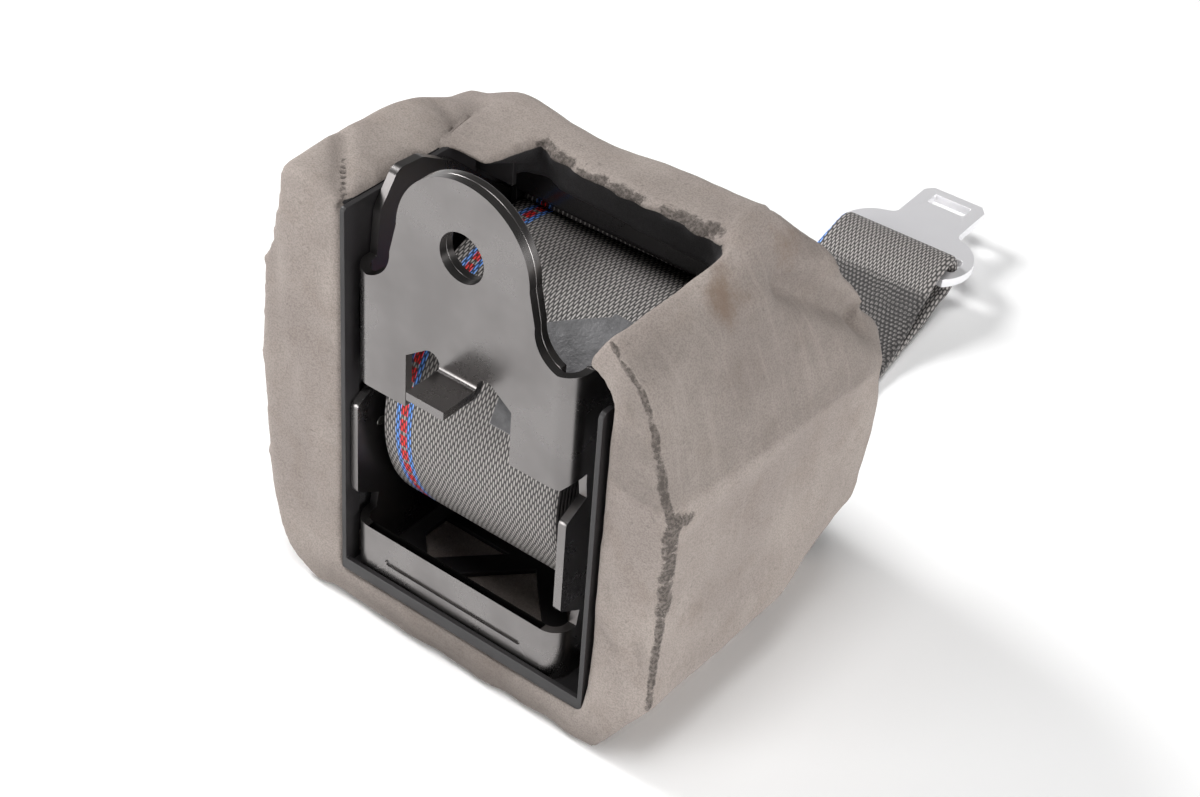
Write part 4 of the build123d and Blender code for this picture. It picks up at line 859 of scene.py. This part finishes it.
def sculpt_foam(vert, layers):
    """Paint a point's masks, and give its place once dented, swollen, creased and torn."""
    place = vert.co / MM
    normal = vert.normal.copy()
    inside = inner_surface(place, normal)
    tear = torn_share(place)
    push = dents_and_swellings(place)
    push.y += opening_edge(place)
    push += uneven_skin(place, normal, inside)
    push += rounded_rims(place, inside)
    push -= normal * crease_depth(place)
    push += normal * tear * (CRUMB_HEIGHT * noise.noise(place / CRUMB_LENGTH) - CRUMB_DEPTH)
    vert[layers["torn"]] = tear
    vert[layers["inside"]] = inside
    vert[layers["stain"]] = stain_share(place)
    vert[layers["dirt_and_shade"]] = dirt_and_shade_share(place)
    return vert.co + push * MM


def even_skin(piece):
    """Replace a piece's mesh by one of small even faces."""
    remesh = piece.modifiers.new("even", "REMESH")
    remesh.mode = "VOXEL"
    remesh.voxel_size = FOAM_VOXEL
    depsgraph = bpy.context.evaluated_depsgraph_get()
    even = bpy.data.meshes.new_from_object(piece.evaluated_get(depsgraph))
    piece.modifiers.clear()
    piece.data = even
    return even


def foam_cover():
    shape = merged_copy("foam_cover")
    mesh = bpy.data.meshes.new("foam_skin")
    shape.to_mesh(mesh)
    shape.free()
    piece = finish_piece("foam_skin", mesh, foam, "housing", "foam", "foam_cover")
    even = even_skin(piece)
    shape = bmesh.new()
    shape.from_mesh(even)
    for _ in range(FOAM_SMOOTHINGS):
        bmesh.ops.smooth_vert(
            shape, verts=shape.verts, factor=0.5, use_axis_x=True, use_axis_y=True, use_axis_z=True
        )
    shape.normal_update()
    layers = {name: shape.verts.layers.float.new(name) for name in ("torn", "inside", "stain", "dirt_and_shade")}
    places = [sculpt_foam(vert, layers) for vert in shape.verts]
    for vert, place in zip(shape.verts, places):
        vert.co = place
    shape.to_mesh(even)
    shape.free()
    even.materials.clear()
    even.materials.append(foam)
    smooth(even)


foam_cover()


# Webbing is a flat grid laid along a path, with its UV in metres
FOLD_RADIUS = 0.75 * MM
LEAST_BEND = 0.05 * MM
TURN_GAP = 0.05 * MM


def distances(places):
    """Distance travelled at each place of a path."""
    travelled = [0.0]
    for first, second in zip(places, places[1:]):
        travelled.append(travelled[-1] + (second - first).length)
    return travelled


def folded(across, width):
    """Where a thread lies, and how far it turns under, on webbing folded to a width."""
    surplus = (WEB_WIDTH - width) / 2
    bend = min(FOLD_RADIUS, surplus)
    if bend < LEAST_BEND:
        return across, 0.0
    side = 1 if across > 0 else -1
    flat = width / 2 - bend
    over = abs(across) - flat
    if over <= 0:
        return across, 0.0
    if over < pi * bend:
        angle = over / bend
        return side * (flat + bend * sin(angle)), bend * (1 - cos(angle))
    return side * (flat - (over - pi * bend)), 2 * bend


def shape_webbing(shape, points, travelled, width_at, stitched):
    """Give a unit grid its UV, its stitched rows and its places along a path."""
    rows = len(points) - 1
    layer = shape.loops.layers.uv.new("UVMap")
    mark = shape.verts.layers.float.new("stitched")
    for face in shape.faces:
        for loop in face.loops:
            x, y = loop.vert.co.x + 0.5, loop.vert.co.y + 0.5
            loop[layer].uv = (x * WEB_WIDTH, travelled[round(y * rows)])
    for vert in shape.verts:
        row = round((vert.co.y + 0.5) * rows)
        place, across, inward = points[row]
        if stitched:
            vert[mark] = stitched(travelled[row])
        shift, turned = folded(vert.co.x * WEB_WIDTH, width_at(travelled[row]))
        vert.co = place + across * shift + inward * turned


def lay_webbing(name, points, body, slot_name, width_at, replaced, columns, stitched=None):
    """Lay a strip along evenly spaced points given as (place, across, inward)."""
    travelled = distances([point[0] for point in points])
    shape = bmesh.new()
    bmesh.ops.create_grid(shape, x_segments=columns, y_segments=len(points) - 1, size=0.5)
    shape_webbing(shape, points, travelled, width_at, stitched)
    mesh = bpy.data.meshes.new(name)
    shape.normal_update()
    shape.to_mesh(mesh)
    shape.free()
    smooth(mesh)
    piece = finish_piece(name, mesh, webbing, body, slot_name, *replaced)
    thick = piece.modifiers.new("thickness", "SOLIDIFY")
    thick.thickness = WEB_THICKNESS - TURN_GAP
    thick.offset = 0
    thick.use_even_offset = True
    return piece, travelled[-1]


# Roll: one strip wound from its outer end near the top down to the core
CORE_RADIUS = 11.8 * MM
ROLL_START = radians(75)
STEPS_PER_TURN = 72
ROLL_COLUMNS = 24


def wound_roll():
    outer = ROLL_RADIUS - WEB_THICKNESS / 2
    turns = (outer - CORE_RADIUS) / WEB_THICKNESS
    steps = int(turns * STEPS_PER_TURN)
    points = []
    for step in range(steps + 1):
        angle = ROLL_START + 2 * pi * turns * step / steps
        radius = outer - WEB_THICKNESS * turns * step / steps
        out = Vector((0, cos(angle), sin(angle)))
        points.append((AXIS + out * radius, Vector((1, 0, 0)), -out))
    piece, length = lay_webbing(
        "wound_webbing", points, "spool", "webbing", lambda travelled: WEB_WIDTH, ("webbing_roll",),
        ROLL_COLUMNS,
    )


wound_roll()


# Free strap: the CAD model's route with a looser loop round the tongue's bar, in mm
TURN = radians(2)
ACROSS = Vector((cos(TURN), sin(TURN), 0))
BAR = (147.34, -97.1)
LOOP = 5.8
ROUTE = [
    (9.81, -19.89), (38.8, -27.66), (45.8, -39.5), (49.3, -54.5), (49.8, -95.0), (60.3, -107.0),
    (134.0, -107.0), (BAR[0] - 5, BAR[1] - LOOP - 1), (BAR[0] + LOOP, BAR[1] - LOOP),
    (BAR[0] + LOOP, BAR[1] + LOOP), (BAR[0] - 5, BAR[1] + LOOP), (116.0, -105.6), (99.0, -105.6),
]
STRAP_STEPS = 420
STRAP_COLUMNS = 64

# The strap is gathered round the bar, and sewn where its end lies back on it, in mm
GATHERED_REACH = 95
GATHERED_BY = 15
SEWN_FROM = 21
SEWN_BLEND = 3


def smooth_line(corners):
    """Places on a smooth line through a route of (distance back, height) in mm."""
    curve = bpy.data.curves.new("route", "CURVE")
    curve.dimensions = "3D"
    spline = curve.splines.new("NURBS")
    spline.points.add(len(corners) - 1)
    for point, (back, height) in zip(spline.points, corners):
        point.co = (0, back * MM, height * MM, 1)
    spline.order_u = 3
    spline.use_endpoint_u = True
    spline.resolution_u = 40
    holder = bpy.data.objects.new("route", curve)
    line = bpy.data.meshes.new_from_object(holder)
    places = [v.co.copy() for v in line.vertices]
    bpy.data.objects.remove(holder)
    bpy.data.curves.remove(curve)
    bpy.data.meshes.remove(line)
    return places


def even_places(places, count):
    """A path's places spread evenly over its length."""
    lengths = distances(places)
    even = []
    at = 0
    for step in range(count + 1):
        target = lengths[-1] * step / count
        while at < len(lengths) - 2 and lengths[at + 1] < target:
            at += 1
        share = (target - lengths[at]) / (lengths[at + 1] - lengths[at])
        even.append(places[at].lerp(places[at + 1], share))
    return even


def free_strap():
    flat = even_places(smooth_line(ROUTE), STRAP_STEPS)
    points = []
    for index, place in enumerate(flat):
        ahead = flat[min(index + 1, STRAP_STEPS)] - flat[max(index - 1, 0)]
        spot = Vector((-place.y * sin(TURN), AXIS.y + place.y * cos(TURN), place.z))
        along = Vector((-ahead.y * sin(TURN), ahead.y * cos(TURN), ahead.z)).normalized()
        points.append((spot, ACROSS, ACROSS.cross(along)))
    total = distances([point[0] for point in points])[-1]
    farthest = max(range(len(flat)), key=lambda index: flat[index].y)
    loop_end = total * farthest / STRAP_STEPS

    def width(travelled):
        away = abs(travelled - loop_end) / MM
        if away > GATHERED_REACH:
            return WEB_WIDTH
        narrow = 0.5 + 0.5 * cos(pi * away / GATHERED_REACH)
        return WEB_WIDTH - GATHERED_BY * MM * narrow ** 0.75

    def stitched(travelled):
        after = (travelled - loop_end) / MM
        return clamped((after - SEWN_FROM) / SEWN_BLEND)

    piece, length = lay_webbing(
        "free_strap", points, "housing", "webbing", width, ("webbing_strap",), STRAP_COLUMNS, stitched
    )


free_strap()


# Floor, lamps and world
FLOOR_HALF_WIDTH = 3.0
FLOOR_GAP = 0.1 * MM
TABLE_WHITE = 0.97
TABLE_ROUGHNESS = 0.6
LIT_PLACE = (0, 0.05, -0.05)

# The world is bright up to one height and dim from another
BRIGHT_UP_TO = 0.05
DIM_FROM = 0.36
BRIGHT = 1.0
DIM = 0.08


def make_floor():
    shape = bmesh.new()
    bmesh.ops.create_grid(shape, x_segments=1, y_segments=1, size=FLOOR_HALF_WIDTH)
    bmesh.ops.translate(shape, verts=shape.verts, vec=(0, 0, FLOOR_Z - FLOOR_GAP))
    mesh = bpy.data.meshes.new("floor")
    shape.to_mesh(mesh)
    shape.free()
    floor_piece = bpy.data.objects.new("floor", mesh)
    scene.collection.objects.link(floor_piece)
    material = bpy.data.materials.new("white_table")
    material.use_nodes = True
    base = next(n for n in material.node_tree.nodes if n.type == "BSDF_PRINCIPLED")
    base.inputs["Base Color"].default_value = grey(TABLE_WHITE)
    base.inputs["Roughness"].default_value = TABLE_ROUGHNESS
    mesh.materials.append(material)


def add_lamp(name, place, size, power):
    """A round lamp that shines on the part."""
    data = bpy.data.lights.new(name, "AREA")
    data.shape = "DISK"
    data.size = size
    data.energy = power
    lamp = bpy.data.objects.new(name, data)
    lamp.rotation_mode = "QUATERNION"
    lamp.rotation_quaternion = (Vector(place) - Vector(LIT_PLACE)).to_track_quat("Z", "Y")
    lamp.location = place
    scene.collection.objects.link(lamp)


def make_world():
    world = bpy.data.worlds.new("studio")
    scene.world = world
    world.use_nodes = True
    tree = world.node_tree
    background = next(n for n in tree.nodes if n.type == "BACKGROUND")
    way = shade(tree, "ShaderNodeSeparateXYZ", {0: shade(tree, "ShaderNodeTexCoord").outputs["Generated"]})
    height = spread(tree, way.outputs[2], BRIGHT_UP_TO, DIM_FROM)
    sky = blend_colours(tree, height, grey(BRIGHT), grey(DIM))
    tree.links.new(sky, background.inputs["Color"])
    background.inputs["Strength"].default_value = 1.0


make_floor()
make_world()
add_lamp("key", (-1.0, 0.0, 0.8), size=0.45, power=13)
add_lamp("overhead", (0.1, -0.2, 1.25), size=0.7, power=9.5)
add_lamp("front", (-0.55, -1.0, 0.28), size=0.7, power=7)
add_lamp("fill", (1.1, -0.15, 0.2), size=0.6, power=8)
place_camera()
scene.view_settings.view_transform = "Standard"
